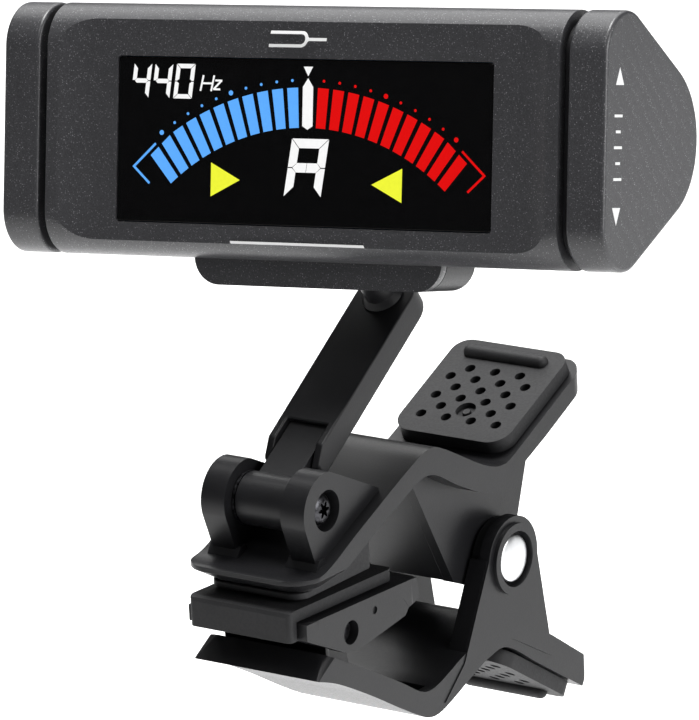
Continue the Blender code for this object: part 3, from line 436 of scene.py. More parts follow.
def piece(name, mesh, where, mat, body, nodes=(), bevel=0.2, segs=3, angle=32, smooth=32, clean=True):
    """A finished visible piece: cleaned, its edges rounded, placed, and riding with its body."""
    bm = bmesh.new()
    bm.from_mesh(mesh)
    if clean:
        bmesh.ops.remove_doubles(bm, verts=bm.verts, dist=4e-6)
        bmesh.ops.dissolve_degenerate(bm, dist=2e-6, edges=bm.edges)
        bmesh.ops.dissolve_limit(bm, angle_limit=R(0.6), verts=bm.verts, edges=bm.edges, use_dissolve_boundaries=False)
    bm.to_mesh(mesh)
    bm.free()
    mesh.transform(where)
    mesh.update()
    if bevel:
        tmp = temp(mesh, "work")
        b = tmp.modifiers.new("edges", 'BEVEL')
        b.width = bevel * MM
        b.segments = segs
        b.limit_method = 'ANGLE'
        b.angle_limit = R(angle)
        b.use_clamp_overlap = True
        b.miter_outer = 'MITER_ARC'
        b.harden_normals = False
        w = tmp.modifiers.new("normals", 'WEIGHTED_NORMAL')
        w.keep_sharp = True
        w.weight = 60
        mesh.shade_smooth()
        out = evaluated(tmp)
        bpy.data.objects.remove(tmp, do_unlink=True)
        mesh = out
    else:
        mesh.shade_smooth()
        mesh.set_sharp_from_angle(angle=R(smooth))
    ob = bpy.data.objects.new(name, mesh)
    bpy.context.scene.collection.objects.link(ob)
    mesh.materials.clear()
    mesh.materials.append(MAT[mat])
    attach(ob, body)
    if nodes:
        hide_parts(*nodes)
    return ob


# ================================================================ CLIP, UPPER HALF
up_top = smooth_line([(-6.75, -6.15), (-6.3, -5.86), (-2.6, -5.75), (3.4, -3.1), (9.6, -0.4), (13.2, 1.1), (15.6, 1.95),
                      (17.6, 2.05), (19.6, 1.25), (22.2, -0.15), (25.6, -2.0), (28.2, -3.15), (30.2, -3.5),
                      UP_HANDLE, along(UP_HANDLE, THUMB_ANGLE, 7.0)])
up_end = [along(UP_HANDLE, THUMB_ANGLE, 16.0), along(UP_HANDLE, THUMB_ANGLE, 16.0, -2.1)]
up_low = smooth_line([along(UP_HANDLE, THUMB_ANGLE, 6.0, -2.2), (34.0, -4.5), (30.6, -5.9), (27.0, -5.75),
                      (22.0, -3.5), (18.6, -1.5), (17.0, -0.85), (15.2, -0.75), (12.6, -1.6), (6.0, -4.3),
                      (0.6, -6.65), (-1.8, -7.75), (-4.3, -7.8), (-5.9, -7.3), (-6.75, -6.5)])
plan = rounded_rect(-CLIP_HALF_W, CLIP_HALF_W, -6.75, 46.8, 3.3, 2.6)
plan_under = rounded_rect(-6.35, 6.35, -4.7, 46.8, 3.0, 2.6)
cheek = ([(16.6, -1.6), (23.9, -15.3), (25.4, -15.9), (28.6, -17.35)] + arc(PIVOT[0], PIVOT[1], 3.95, 255, 372, 5)
         + [(36.3, -11.7), (38.6, -5.3), (39.3, -1.6), (31.0, -4.6), (26.0, -4.4), (20.5, -1.6)])
web = [(16.6, -1.6), (23.8, -15.2), (25.2, -15.4), (19.0, -2.4)]


def clevis_ear(x0, x1):
    outline = [(9.3, -0.2)] + arc(0, 0, EAR_R, 78, 197, 5) + [(-2.5, -5.0), (-2.3, -6.3), (1.0, -6.0), (9.3, -1.6)]
    return prism(outline, x0, x1)


def ear_foot(x0, x1):
    return prism([(-3.0, -6.1), (-2.95, -5.72), (-2.25, -4.75), (-1.2, -4.75), (-1.2, -6.1)], x0, x1)


steps = [('INTERSECT', taper([(plan_under, -30), (plan_under, -7.8), (plan, -6.4), (plan, 20)]))]
for sx in (-1, 1):
    steps.append(('UNION', clevis_ear(*sorted((sx * EAR_IN, sx * EAR_OUT)))))
    steps.append(('UNION', ear_foot(*sorted((sx * (EAR_IN - 0.5), sx * (EAR_OUT + 0.35))))))
    steps.append(('UNION', prism(cheek, *sorted((sx * CHEEK_IN, sx * CHEEK_OUT)))))
steps.append(('UNION', prism(web, -CHEEK_IN - 0.2, CHEEK_IN + 0.2)))
steps += [('DIFFERENCE', rod(1.15, -9, 9, (0, 0), n=40)),
          ('DIFFERENCE', rod(2.2, 5.0, 8.2, (0, 0), n=64)),
          ('DIFFERENCE', rod(2.1, -8.2, -5.0, (0, 0), n=6)),
          ('DIFFERENCE', rod(PIN_R + GAP, -9, 9, PIVOT, n=64))]
piece("upper_lever_shell", solid(prism(up_top + up_end + up_low, -CLIP_HALF_W, CLIP_HALF_W), steps),
      M_CLIP, "clip", "clip_upper", ["upper_lever"], 0.28)


def thumb_pad(name, body, origin, angle, side, nodes):
    """Perforated rubber pad with a grip bar near its outer end."""
    where = M_CLIP @ T(0, *origin) @ Matrix.Rotation(R(angle), 4, 'X')
    base, top = 0.12 * side, 1.75 * side
    lo, hi = sorted((base, top))
    pad = prism(rounded_rect(-7.3, 7.3, -0.4, 15.0, 2.4, 2.0), lo, hi, "Z")
    spots = [(x, s) for s in (10.45, 7.25) for x in (-3.25, 0, 3.25)] + [(-3.25, 4.05), (3.25, 4.05)]
    spots += [(x, s) for s in (8.85, 5.65, 2.45) for x in (-4.875, -1.625, 1.625, 4.875)]
    cuts = [('DIFFERENCE', rod(0.6, *sorted((0.7 * side, 2.6 * side)), (x, s), "Z", 28)) for x, s in spots]
    cuts.append(('DIFFERENCE', rod(1.15, *sorted((1.15 * side, 2.6 * side)), (0, 4.05), "Z", 36)))
    piece(name, solid(pad, cuts), where, "rubber", body, nodes, 0.16, 3)
    bar = []
    n = 14
    r = 0.8
    for i in range(n + 1):
        t = math.pi / 2 * i / n
        bar.append((r * math.cos(t), 5.4 - r + r * math.sin(t)))
    prof = [(0.0, 5.4)] + bar[::-1] + [(a, -b) for a, b in bar] + [(0.0, -5.4)]
    me = turned(prof, (12.9, (1.75 + 0.15 - 0.02) * side), 0.0, "X", 48)
    piece(name + "_bar", me, where, "rubber", body, (), 0, smooth=50)
    dimple = turned([(0, 1.5 * side), (0.42, 1.5 * side), (0.5, 1.4 * side), (0.5, 1.0 * side), (0, 1.0 * side)],
                    (0, 4.05), 0.0, "Z", 32)
    piece(name + "_dimple", dimple, where, "rubber", body, (), 0, smooth=40)


thumb_pad("upper_thumb_rubber", "clip_upper", UP_HANDLE, THUMB_ANGLE, 1, ["upper_thumb_pad"])

wedge = [(-4.6, -8.74), (8.4, -8.74), (8.4, -3.76), (0.5, -7.0), (-2.4, -7.95), (-4.6, -8.0)]
piece("upper_jaw_rubber", solid(prism(wedge, -6.0, 6.0),
      [('INTERSECT', prism(rounded_rect(-6.0, 6.0, -4.6, 8.4, 1.8, 0.8), -12, 0, "Z"))]),
      M_CLIP, "rubber", "clip_upper", ["upper_jaw_pad"], 0.15)

dome = [(PIN_R * math.cos(R(a)), 8.15 + 0.30 * math.sin(R(a))) for a in range(90, -1, -10)]
dome = [(r, 8.15 + 0.30 * math.sqrt(max(0.0, 1 - (r / PIN_R) ** 2))) for r in (0, 0.8, 1.4, 1.9, 2.2, 2.4, 2.5, PIN_R)]
piece("pivot_pin_domed", turned(dome + [(r, -h) for r, h in dome[::-1]], PIVOT, 0.0, "X", 72),
      M_CLIP, "bright", "clip_upper", ["pivot_pin"], 0, smooth=50)


def torsion_points(n=36):
    r, turns, pitch = 3.2, 4.7, 1.12
    half = turns * pitch / 2
    start, pts = 60.0, []
    total = int(turns * n)
    for i in range(total + 1):
        a = R(start - 360.0 * i / n)
        pts.append((-half + 2 * half * i / total, PIVOT[0] + r * math.cos(a), PIVOT[1] + r * math.sin(a)))
    up = [(-half, pts[0][1] + 6.6 - 1.6 * (3 - k) * 0.4 - 6.6 + (6.2 - 2.07 * k) * 0.62,
           pts[0][2] + (6.2 - 2.07 * k) * 0.78) for k in range(3)]
    d = (0.0, -1.0)
    last = pts[-1]
    down = [(half, last[1] + d[0] * 1.1 * (k + 1), last[2] + d[1] * 1.1 * (k + 1)) for k in range(2)]
    return up + pts + down


piece("torsion_spring_wire", wire(torsion_points(), 0.39, 6), M_CLIP, "steel", "clip_upper",
      ["torsion_spring"], 0, smooth=60)

lobes = [((0.72 + 0.24 * math.cos(R(6 * t))) * math.cos(R(t)), (0.72 + 0.24 * math.cos(R(6 * t))) * math.sin(R(t)))
         for t in range(0, 360, 5)]
piece("arm_hinge_screw_head", solid(turned([(0, 6.25), (1.0, 6.2), (1.4, 6.0), (1.62, 5.75), (1.75, 5.3), (1.75, 5.2),
                                            (1.0, 5.2), (1.0, -6.1), (0, -6.1)], (0, 0), 0.0, "X", 64),
                                    [('DIFFERENCE', prism(lobes, 5.45, 6.6))]),
      M_CLIP, "dark_steel", "clip_upper", ["arm_hinge_screw"], 0, smooth=40)
piece("arm_hinge_nut_hex", solid(rod(1.9, -6.3, -5.15, (0, 0), n=6), [('DIFFERENCE', rod(1.12, -7, -4.5, (0, 0), n=40))]),
      M_CLIP, "steel", "clip_upper", ["arm_hinge_nut"], 0.12, 2)

# ================================================================ CLIP, LOWER HALF
low_bottom = smooth_line([(-5.0, -16.95), (-1.4, -18.35), (4.0, -21.25), (9.3, -24.4), (12.3, -26.1), (14.4, -27.1),
                          (16.4, -27.25), (19.0, -26.5), (22.7, -25.1), (26.2, -24.0), LOW_HANDLE,
                          along(LOW_HANDLE, LOW_THUMB_ANGLE, 6.0)])
low_end = [along(LOW_HANDLE, LOW_THUMB_ANGLE, 16.6), along(LOW_HANDLE, LOW_THUMB_ANGLE, 16.6, 3.2)]
low_top = smooth_line([along(LOW_HANDLE, LOW_THUMB_ANGLE, 8.0, 3.5), (31.6, -21.4), (28.4, -20.9), (25.0, -21.3),
                       (21.4, -22.3), (18.6, -23.3), (16.6, -23.95), (14.8, -24.2), (13.0, -23.7), (9.5, -21.55),
                       (4.2, -18.55), (-0.9, -15.85), (-2.7, -14.8)])
low_plan = rounded_rect(-CLIP_HALF_W - 0.15, CLIP_HALF_W + 0.15, -5.3, 45.6, 0.7, 2.4)
low_plan_top = rounded_rect(-CLIP_HALF_W - 0.15, CLIP_HALF_W + 0.15, -2.75, 45.6, 2.8, 2.4)
low_ear = ([(17.4, -26.4), (21.3, -23.2)] + arc(PIVOT[0], PIVOT[1], 4.65, 168, -8, 5)
           + [(37.5, -24.9), (37.7, -27.4), (30.4, -23.2), (25.6, -22.9), (20.2, -25.2)])
flange = [(21.3, -23.2), (26.6, -13.3), (28.1, -13.9), (23.4, -24.0)]
tray = [(-1.55, -12.0), (-1.55, -16.6), (1.0, -18.2), (5.0, -20.4), (9.6, -23.1), (12.6, -24.9), (14.6, -25.75),
        (15.6, -25.4), (16.0, -20.0), (10.0, -12.0)]
lug = arc(PAD_PIN[0], PAD_PIN[1], 1.75, -8, 188, 7) + [(-1.0, -18.2), (3.6, -20.7), (5.6, -21.5)]
steps = [('INTERSECT', taper([(low_plan, -40), (low_plan, -17.1), (low_plan_top, -14.7), (low_plan_top, 0)])), ('DIFFERENCE', prism(tray, -6.75, 6.75))]
for sx in (-1, 1):
    steps.append(('UNION', prism(low_ear, *sorted((sx * LOW_EAR_IN, sx * LOW_EAR_OUT)))))
    steps.append(('UNION', prism(flange, *sorted((sx * 5.7, sx * 7.9)))))
    steps.append(('UNION', rod(4.3, *sorted((sx * 5.7, sx * 7.9)), PIVOT, n=64)))
    steps.append(('UNION', rod(3.9, *sorted((sx * 7.6, sx * 8.6)), PIVOT, n=72)))
    steps.append(('UNION', prism(lug, *sorted((sx * 3.0, sx * 4.9)))))
    steps.append(('DIFFERENCE', rod(3.05, *sorted((sx * 7.5, sx * 9.5)), PIVOT, n=72)))
steps += [('DIFFERENCE', rod(PIN_R + GAP, -10, 10, PIVOT, n=64)), ('DIFFERENCE', rod(1.3, -7, 7, PAD_PIN, n=40))]
piece("lower_lever_shell", solid(prism(low_bottom + low_end + low_top, -CLIP_HALF_W, CLIP_HALF_W), steps),
      M_CLIP, "clip", "clip_lower", ["lower_lever"], 0.28)
thumb_pad("lower_thumb_rubber", "clip_lower", along(LOW_HANDLE, LOW_THUMB_ANGLE, 1.0), LOW_THUMB_ANGLE, -1,
          ["lower_thumb_pad"])

# rocking pad
# the pad is drawn level, then carried to its place over the pin
PAD_SHIFT = (-1.0, 0.38)


def shifted(pts):
    return [(a + PAD_SHIFT[0], b + PAD_SHIFT[1]) for a, b in pts]


shelf = shifted([(-4.9, -10.95), (15.0, -11.65), (15.3, -14.1), (13.3, -14.5), (12.4, -13.3), (5.6, -12.1), (0.2, -12.0),
                 (-3.9, -12.2), (-4.1, -12.9), (-4.9, -12.9)])
apron = shifted([(-0.35, -16.2), (-0.35, -11.6), (0.25, -11.6), (0.25, -16.2)])
holder_cheek = shifted([(-4.9, -11.0), (14.9, -11.7), (15.3, -14.1), (13.3, -14.55), (12.6, -15.25), (3.9, -16.4),
                        (1.7, -16.0), (-4.9, -12.75)])
steps = [('INTERSECT', prism(rounded_rect(-7.6, 7.6, -5.9, 14.4, 2.2, 1.6), -20, -5, "Z")),
         ('UNION', prism(apron, -6.5, 6.5))]
for sx in (-1, 1):
    steps.append(('UNION', prism(holder_cheek, *sorted((sx * 5.2, sx * 7.58)))))
steps.append(('DIFFERENCE', rod(1.3, -10, 10, PAD_PIN, n=40)))
for sx in (-1, 1):
    steps.append(('DIFFERENCE', rod(0.42, *sorted((sx * 7.35, sx * 8.0)), (6.2, -12.6), n=24)))
piece("pad_holder_shell", solid(prism(shelf, -7.6, 7.6), steps), M_CLIP, "clip", "jaw_pad",
      ["pad_holder"], 0.2)
boot = shifted([(-6.3, -9.95), (-6.05, -9.6), (-5.5, -9.4), (12.2, -9.98), (12.4, -11.3), (-5.15, -10.7), (-5.2, -12.75),
                (-6.3, -12.75)])
piece("pad_rubber_boot", solid(prism(boot, -6.5, 6.5),
      [('INTERSECT', prism(rounded_rect(-6.5, 6.5, -7.3, 11.4, 0.6, 1.1), -20, -5, "Z"))]),
      M_CLIP, "rubber", "jaw_pad", ["pad_rubber"], 0.22, 4)

# ================================================================ ARM AND KNUCKLE
piece("arm_tongue_barrel", solid(rod(2.85, -3.1, 3.1, (0, 0), n=72),
      [('UNION', prism([(0.5, ARM_BACK), (13.8, ARM_BACK), (13.8, 1.55), (0.5, 1.9)], -TONGUE_HW, TONGUE_HW)),
       ('DIFFERENCE', rod(1.15, -5, 5, (0, 0), n=32))]), M_ARM, "neck", "arm", ["arm_tongue"], 0.15)
sleeve = rounded_rect(-ARM_HALF_W, ARM_HALF_W, 4.2, ARM_LEN + ARM_HALF_W, 0.6, ARM_HALF_W - 0.01, 6)
piece("arm_sleeve_shell", solid(prism(sleeve, ARM_BACK, ARM_FACE, "Z"),
      [('DIFFERENCE', prism([(3.0, -2.0), (14.0, -2.0), (14.0, 1.75), (9.2, 1.75), (9.2, 4.0), (3.0, 4.0)],
                            -TONGUE_HW - GAP, TONGUE_HW + GAP)),
       ('DIFFERENCE', prism([(3.0, 1.0), (4.2, 1.0), (7.4, 3.0), (3.0, 3.0)], -5, 5)),
       ('DIFFERENCE', rod(1.25, -3, 5, (0, ARM_LEN), "Z", 40)),
       ('DIFFERENCE', rod(2.3, -2, 0.75, (0, ARM_LEN), "Z", 56))]), M_ARM, "neck", "arm",
      ["arm_sleeve"], 0.2)
piece("swivel_knuckle_shell", solid(turned([(0, 6.0), (1.75, 6.0), (1.75, 0.75), (2.3, 0.15), (1.1, 0.15), (1.1, -1.6),
                                            (0, -1.6)], (0, 0), 0.0, "Z", 64),
      [('UNION', rod(2.6, -3.1, 3.1, (0, KNUCKLE_H), "X", 64)),
       ('DIFFERENCE', rod(0.65, -4, 1.4, (0, 0), "Z", 24)),
       ('DIFFERENCE', rod(0.95, -5, 5, (0, KNUCKLE_H), "X", 32))]), M_SWIVEL, "neck", "knuckle",
      ["swivel_knuckle"], 0.12)

# ================================================================ HEAD
def section(inset=0.0, step=4):
    r, rr = CORNER_R - inset, RIDGE_R - inset
    cy, cz = CORNER_C
    return (arc(cy, cz, r, 180, FLANK, step) + arc(RIDGE_C, 0, rr, FLANK, -FLANK, step)
            + arc(cy, -cz, r, -FLANK, -180, step))


def dish_outline(front):
    half, rise = 24.9, 4.3
    r = (rise ** 2 + DISH ** 2) / (2 * DISH)
    n = 16
    right = [(half + r * math.sin(t), DISH - r + r * math.cos(t)) for t in [math.asin(rise / r) * i / n for i in range(n + 1)]]
    right[-1] = (half + rise + 0.2, -0.05)
    return [(-x, y) for x, y in reversed(right)] + right + [(half + rise + 0.2, front), (-half - rise - 0.2, front)]


def body_x(outline, hw):
    return prism(outline, -hw, hw)


chin = rounded_rect(-14.7, 15.0, -16.0, -8.0, 3.0, 0.5)
front_steps = [('UNION', prism(chin, 4.4, PARTING, "Y")),
               ('DIFFERENCE', block((-60, PARTING, -30), (60, 40, 30))),
               ('DIFFERENCE', prism(dish_outline(-6), -30, 30, "Z")),
               ('DIFFERENCE', block((-29.1, DISH + WALL, -10.9), (29.1, 8.0, 10.9))),
               ('DIFFERENCE', prism(rounded_rect(-WX, WX, WZ0, WZ1, 0.35), -2, 4, "Y"))]
piece("front_case_shell", solid(body_x(section(), BODY_HALF_W), front_steps), M_HEAD, "case", "head",
      ["front_case"], 0.13, 3, 30)

rear_steps = [('DIFFERENCE', block((-60, -10, -30), (60, PARTING + 0.12, 30))),
              ('DIFFERENCE', prism(section(WALL, 8), -BODY_HALF_W + WALL, BODY_HALF_W - WALL))]
for sx in (-1, 1):
    for sz in (-1, 1):
        rear_steps.append(('UNION', rod(1.95, PARTING + 0.3, 10.9, (sx * SCREW_X, sz * SCREW_Z), "Y", 40)))
        rear_steps.append(('DIFFERENCE', rod(0.8, 3.0, 14.0, (sx * SCREW_X, sz * SCREW_Z), "Y", 24)))
        rear_steps.append(('DIFFERENCE', rod(1.45, 9.6, 16.0, (sx * SCREW_X, sz * SCREW_Z), "Y", 48)))
rear_steps += [('DIFFERENCE', block((-DOOR_X, 13.0, -DOOR_Z), (DOOR_X, 30, DOOR_Z))),
               ('DIFFERENCE', rod(2.55, -32, -26, (DIAL_AXIS, 0), n=48)),
               ('DIFFERENCE', rod(2.55, 26, 32, (DIAL_AXIS, 0), n=48)),
               ('DIFFERENCE', rod(0.8, -14, -5, (-11.0, 8.6), "Z", 24)),
               ('DIFFERENCE', rod(0.8, -14, -5, (11.0, 8.6), "Z", 24))]
piece("rear_case_shell", solid(body_x(section(), BODY_HALF_W), rear_steps), M_HEAD, "case", "head",
      ["rear_case"], 0.13, 3, 30)

door_steps = [('DIFFERENCE', prism(section(WALL, 8), -28, 28)),
              ('INTERSECT', block((-DOOR_X + GAP, 13.4, -DOOR_Z + GAP), (DOOR_X - GAP, 30, DOOR_Z - GAP)))]
for x0 in (18.6, 20.2, 21.8):
    door_steps.append(('DIFFERENCE', block((x0, 20.0, -3.0), (x0 + 0.6, 22, 3.0))))
piece("battery_door_shell", solid(body_x(section(0, 4), 26.0), door_steps), M_HEAD, "case", "battery_door",
      ["battery_door"], 0.13, 3, 30)

chin_rear = rounded_rect(-14.7, 15.0, -16.0, -8.0, 3.0, 0.5)
lug_side = arc(TILT_PIN[0], TILT_PIN[1], 2.95, -70, 90, 6) + [(9.6, -10.6), (9.6, -15.4)]
bracket_steps = [('DIFFERENCE', prism(section(-0.12), -40, 40))]
for sx in (-1, 1):
    bracket_steps.append(('UNION', prism(lug_side, *sorted((sx * 3.35, sx * 6.6)))))
bracket_steps += [('DIFFERENCE', prism(section(-0.12), -41, 41)),
                  ('DIFFERENCE', rod(4.6, -3.35, 3.35, TILT_PIN, n=72)),
                  ('DIFFERENCE', rod(0.95, -8, 8, TILT_PIN, n=32)),
                  ('DIFFERENCE', rod(1.7, 5.6, 9.0, TILT_PIN, n=48)),
                  ('DIFFERENCE', rod(0.8, -20, -5, (-11.0, 8.6), "Z", 24)),
                  ('DIFFERENCE', rod(0.8, -20, -5, (11.0, 8.6), "Z", 24)),
                  ('DIFFERENCE', rod(1.5, -20, -15.0, (-11.0, 8.6), "Z", 40)),
                  ('DIFFERENCE', rod(1.5, -20, -15.0, (11.0, 8.6), "Z", 40))]
piece("hinge_bracket_shell", solid(prism(chin_rear, PARTING + 0.12, 11.5, "Y"), bracket_steps), M_HEAD, "clip", "head",
      ["hinge_bracket"], 0.15, 3, 30)

for side, sx, body in (("left", -1, "power_dial"), ("right", 1, "calibration_dial")):
    xs = sorted((sx * (BODY_HALF_W + 0.12), sx * 31.25))
    piece(side + "_end_neck", solid(prism(section(1.15), *xs), [('DIFFERENCE', rod(2.55, *sorted((sx * 29, sx * 33)), (DIAL_AXIS, 0), n=40))]),
          M_HEAD, "neck", "head", [side + "_end_plate"], 0)
    xs = sorted((sx * DIAL_IN, sx * HEAD_HALF_W))
    piece(body + "_cap", solid(prism(section(0), *xs), [('UNION', rod(2.2, *sorted((sx * 26.4, sx * 32.0)), (DIAL_AXIS, 0), n=40))]),
          M_HEAD, "case", body, [body], 0.42, 3, 50)

# window, and the lit figures on its face
wy = DISH + 0.15
piece("display_window_pane", prism(rounded_rect(-WX + 0.1, WX - 0.1, WZ0 + 0.1, WZ1 - 0.1, 0.3), wy, wy + 1.2, "Y"), M_HEAD,
      "window", "head", ["display_window"], 0.08, 2)


def figure(name, shapes, mat, y0=wy - 0.03, y1=wy + 0.05):
    """Flat lit shapes joined into one piece."""
    bm = bmesh.new()
    for pts in shapes:
        me = prism(pts, y0, y1, "Y")
        bm.from_mesh(me)
        bpy.data.meshes.remove(me)
    me = bpy.data.meshes.new(name)
    bm.to_mesh(me)
    bm.free()
    return piece(name, me, M_HEAD, mat, "head", (), 0, smooth=20, clean=False)


def clip_half(poly, p, n):
    """The part of a polygon on the side of the line through p that n points away from."""
    out = []
    for i, a in enumerate(poly):
        b = poly[(i + 1) % len(poly)]
        da = (a[0] - p[0]) * n[0] + (a[1] - p[1]) * n[1]
        db = (b[0] - p[0]) * n[0] + (b[1] - p[1]) * n[1]
        if da <= 0:
            out.append(a)
        if da * db < 0:
            t = da / (da - db)
            out.append((a[0] + (b[0] - a[0]) * t, a[1] + (b[1] - a[1]) * t))
    return out


GX, GZ, R_OUT, R_IN = 0.57, -24.3, 29.1, 24.95
TIP, TOP, BOT = (21.15, -3.8), (18.42, -1.28), (19.12, -5.62)


def mirror(pts, s):
    return [(GX + s * x, z) for x, z in (pts if s > 0 else pts[::-1])]


def unit(a, b):
    d = (b[0] - a[0], b[1] - a[1])
    l = math.hypot(*d)
    return (d[0] / l, d[1] / l)


bars, dots, frames = [], [], []
for i in range(11):
    a0, a1 = 2.36 + 3.617 * i, 2.36 + 3.617 * i + 2.55
    lim_out = R_OUT + (2.0 if i > 8 else 0)
    poly = [(r * math.sin(R(a)), GZ + r * math.cos(R(a))) for r, a in ((R_IN, a0), (R_IN, (a0 + a1) / 2), (R_IN, a1),
                                                                  (lim_out, a1), (lim_out, (a0 + a1) / 2), (lim_out, a0))]
    d1, d2 = unit(TOP, TIP), unit(TIP, BOT)
    n1, n2 = (-d1[1], d1[0]), (-d2[1], d2[0])
    poly = clip_half(poly, (TIP[0] - 0.62 * n1[0], TIP[1] - 0.62 * n1[1]), n1)
    poly = clip_half(poly, (TIP[0] - 0.62 * n2[0], TIP[1] - 0.62 * n2[1]), n2)
    poly = clip_half(poly, (0, -5.58), (0, -1))
    bars.append(poly)
    if i < 10:
        am = R((a0 + a1) / 2)
        dots.append(arc(29.85 * math.sin(am), GZ + 29.85 * math.cos(am), 0.26 if i in (4, 9) else 0.15, 0, 345, 20)[:-1])


def stroke(a, b, w):
    d = unit(a, b)
    n = (-d[1] * w / 2, d[0] * w / 2)
    return [(a[0] + n[0], a[1] + n[1]), (b[0] + n[0], b[1] + n[1]), (b[0] - n[0], b[1] - n[1]), (a[0] - n[0], a[1] - n[1])]


def chevron(a, t, b, w):
    d1, d2 = unit(a, t), unit(t, b)
    n1, n2 = (-d1[1], d1[0]), (-d2[1], d2[0])
    k = w / (1 + n1[0] * n2[0] + n1[1] * n2[1])
    inner = (t[0] - k * (n1[0] + n2[0]), t[1] - k * (n1[1] + n2[1]))
    return [a, t, b, (b[0] - n2[0] * w, b[1] - n2[1] * w), inner, (a[0] - n1[0] * w, a[1] - n1[1] * w)]


frames.append(chevron(TOP, TIP, BOT, 0.24))
figure("flat_side_bars", [mirror(p, -1) for p in bars + dots + frames], "blue")
figure("sharp_side_bars", [mirror(p, 1) for p in bars + dots + frames], "red")
figure("centre_needle", [mirror([(0, 5.75), (0.61, 4.86), (0.61, 0.82), (0, 0.45), (-0.61, 0.82), (-0.61, 4.86)], 1),
                         mirror([(-0.55, 6.95), (0.55, 6.95), (0, 5.97)], 1)], "white")


def segments(x0, z0, w, h, t, slant, lit, gap=0.05):
    """Lit segments of a seven-segment figure; w and h are its outer size, t the segment's width."""
    hh = h / 2
    g = gap
    shapes = {
        "a": [(g, h), (w - g, h), (w - t - g, h - t), (t + g, h - t)],
        "d": [(g, 0), (t + g, t), (w - t - g, t), (w - g, 0)],
        "f": [(0, h - g), (0, hh + g), (t * 0.5, hh + g), (t, hh + t * 0.5), (t, h - t - g)],
        "b": [(w, h - g), (w - t, h - t - g), (w - t, hh + t * 0.5), (w - t * 0.5, hh + g), (w, hh + g)],
        "e": [(0, g), (t, t + g), (t, hh - t * 0.5), (t * 0.5, hh - g), (0, hh - g)],
        "c": [(w, g), (w, hh - g), (w - t * 0.5, hh - g), (w - t, hh - t * 0.5), (w - t, t + g)],
        "g": [(t * 0.5 + g, hh), (t + g, hh + t * 0.5), (w - t - g, hh + t * 0.5), (w - t * 0.5 - g, hh),
              (w - t - g, hh - t * 0.5), (t + g, hh - t * 0.5)],
        "1": [(t * 0.5 + g, hh), (t + g, hh + t * 0.5), (w / 2 - g * 0.6, hh + t * 0.5), (w / 2 - g * 0.6, hh - t * 0.5),
              (t + g, hh - t * 0.5)],
        "2": [(w / 2 + g * 0.6, hh + t * 0.5), (w - t - g, hh + t * 0.5), (w - t * 0.5 - g, hh),
              (w - t - g, hh - t * 0.5), (w / 2 + g * 0.6, hh - t * 0.5)],
    }
    return [[(x0 + x + slant * z, z0 + z) for x, z in shapes[s]] for s in lit]


figure("pitch_figures", segments(-20.95, 3.38, 2.15, 3.58, 0.46, 0.12, "fgbc")
       + segments(-18.37, 3.38, 2.15, 3.58, 0.46, 0.12, "fgbc")
       + segments(-15.74, 3.38, 2.25, 3.62, 0.46, 0.12, "abcdef")
       + [stroke((-12.42, 4.22), (-12.06, 5.86), 0.2), stroke((-11.12, 4.22), (-10.76, 5.86), 0.2),
          stroke((-12.30, 5.02), (-10.92, 5.02), 0.2),
          stroke((-10.62, 5.33), (-9.80, 5.33), 0.2), stroke((-10.86, 4.42), (-10.02, 4.42), 0.2),
          stroke((-10.84, 4.40), (-9.84, 5.35), 0.2)], "white")
figure("note_figure", segments(-2.12, -6.50, 4.42, 6.02, 0.98, 0.15, "abcef12", 0.055), "white")
figure("string_marks", [[(-10.95, -3.2), (-10.95, -6.72), (-7.45, -4.94)], [(11.92, -3.3), (8.32, -5.03), (11.90, -6.80)]],
       "yellow")

# plain printed marks: arrows and a row of graduations on the right dial, a fork sign and a rule on the face
marks = [[(2.07, 5.71), (3.79, 5.72), (2.88, 7.50)], [(1.76, -6.66), (2.66, -8.46), (3.48, -6.67)]]
for k in range(5):
    z = 2.6 - 1.6 * k
    half = 0.85 if k in (0, 2, 4) else 0.5
    marks.append([(2.75 - half, z - 0.14), (2.75 + half, z - 0.14), (2.75 + half, z + 0.14), (2.75 - half, z + 0.14)])
bm = bmesh.new()
for pts in marks:
    me = prism(pts, HEAD_HALF_W - 0.03, HEAD_HALF_W + 0.012)
    bm.from_mesh(me)
    bpy.data.meshes.remove(me)
me = bpy.data.meshes.new("dial_marks")
bm.to_mesh(me)
bm.free()
piece("calibration_marks", me, M_HEAD, "print", "calibration_dial", (), 0, smooth=20, clean=False)

fork_z = 9.75
fork = ([(-4.0, 1.0), (0.4, 1.0)] + [(0.4 + 1.0 * math.cos(R(a)), 1.0 * math.sin(R(a))) for a in range(80, 15, -10)]
        + [(1.5, 0.19), (4.0, 0.19), (4.0, -0.19), (1.5, -0.19)]
        + [(0.4 + 1.0 * math.cos(R(a)), 1.0 * math.sin(R(a))) for a in range(-20, -85, -10)] + [(0.4, -1.0), (-4.0, -1.0),
           (-4.0, -0.62), (0.4, -0.62)] + [(0.4 + 0.62 * math.cos(R(a)), 0.62 * math.sin(R(a))) for a in range(-80, 85, 10)]
        + [(0.4, 0.62), (-4.0, 0.62)])
skin = section(-0.012)
piece("face_fork_mark", solid(prism([(-0.1 + x * 0.85, fork_z + z * 0.85) for x, z in fork][::-1], -1.0, 2.6, "Y"),
      [('INTERSECT', prism(skin, -20, 20)), ('DIFFERENCE', prism(section(0.05), -21, 21))]),
      M_HEAD, "print", "head", (), 0, smooth=20)
piece("face_rule_mark", solid(prism([(-8.3, -11.55), (7.7, -11.55), (7.7, -11.27), (-8.3, -11.27)], -1.0, 3.2, "Y"),
      [('INTERSECT', prism(skin, -20, 20)), ('DIFFERENCE', prism(section(0.05), -21, 21))]),
      M_HEAD, "print", "head", (), 0, smooth=20)

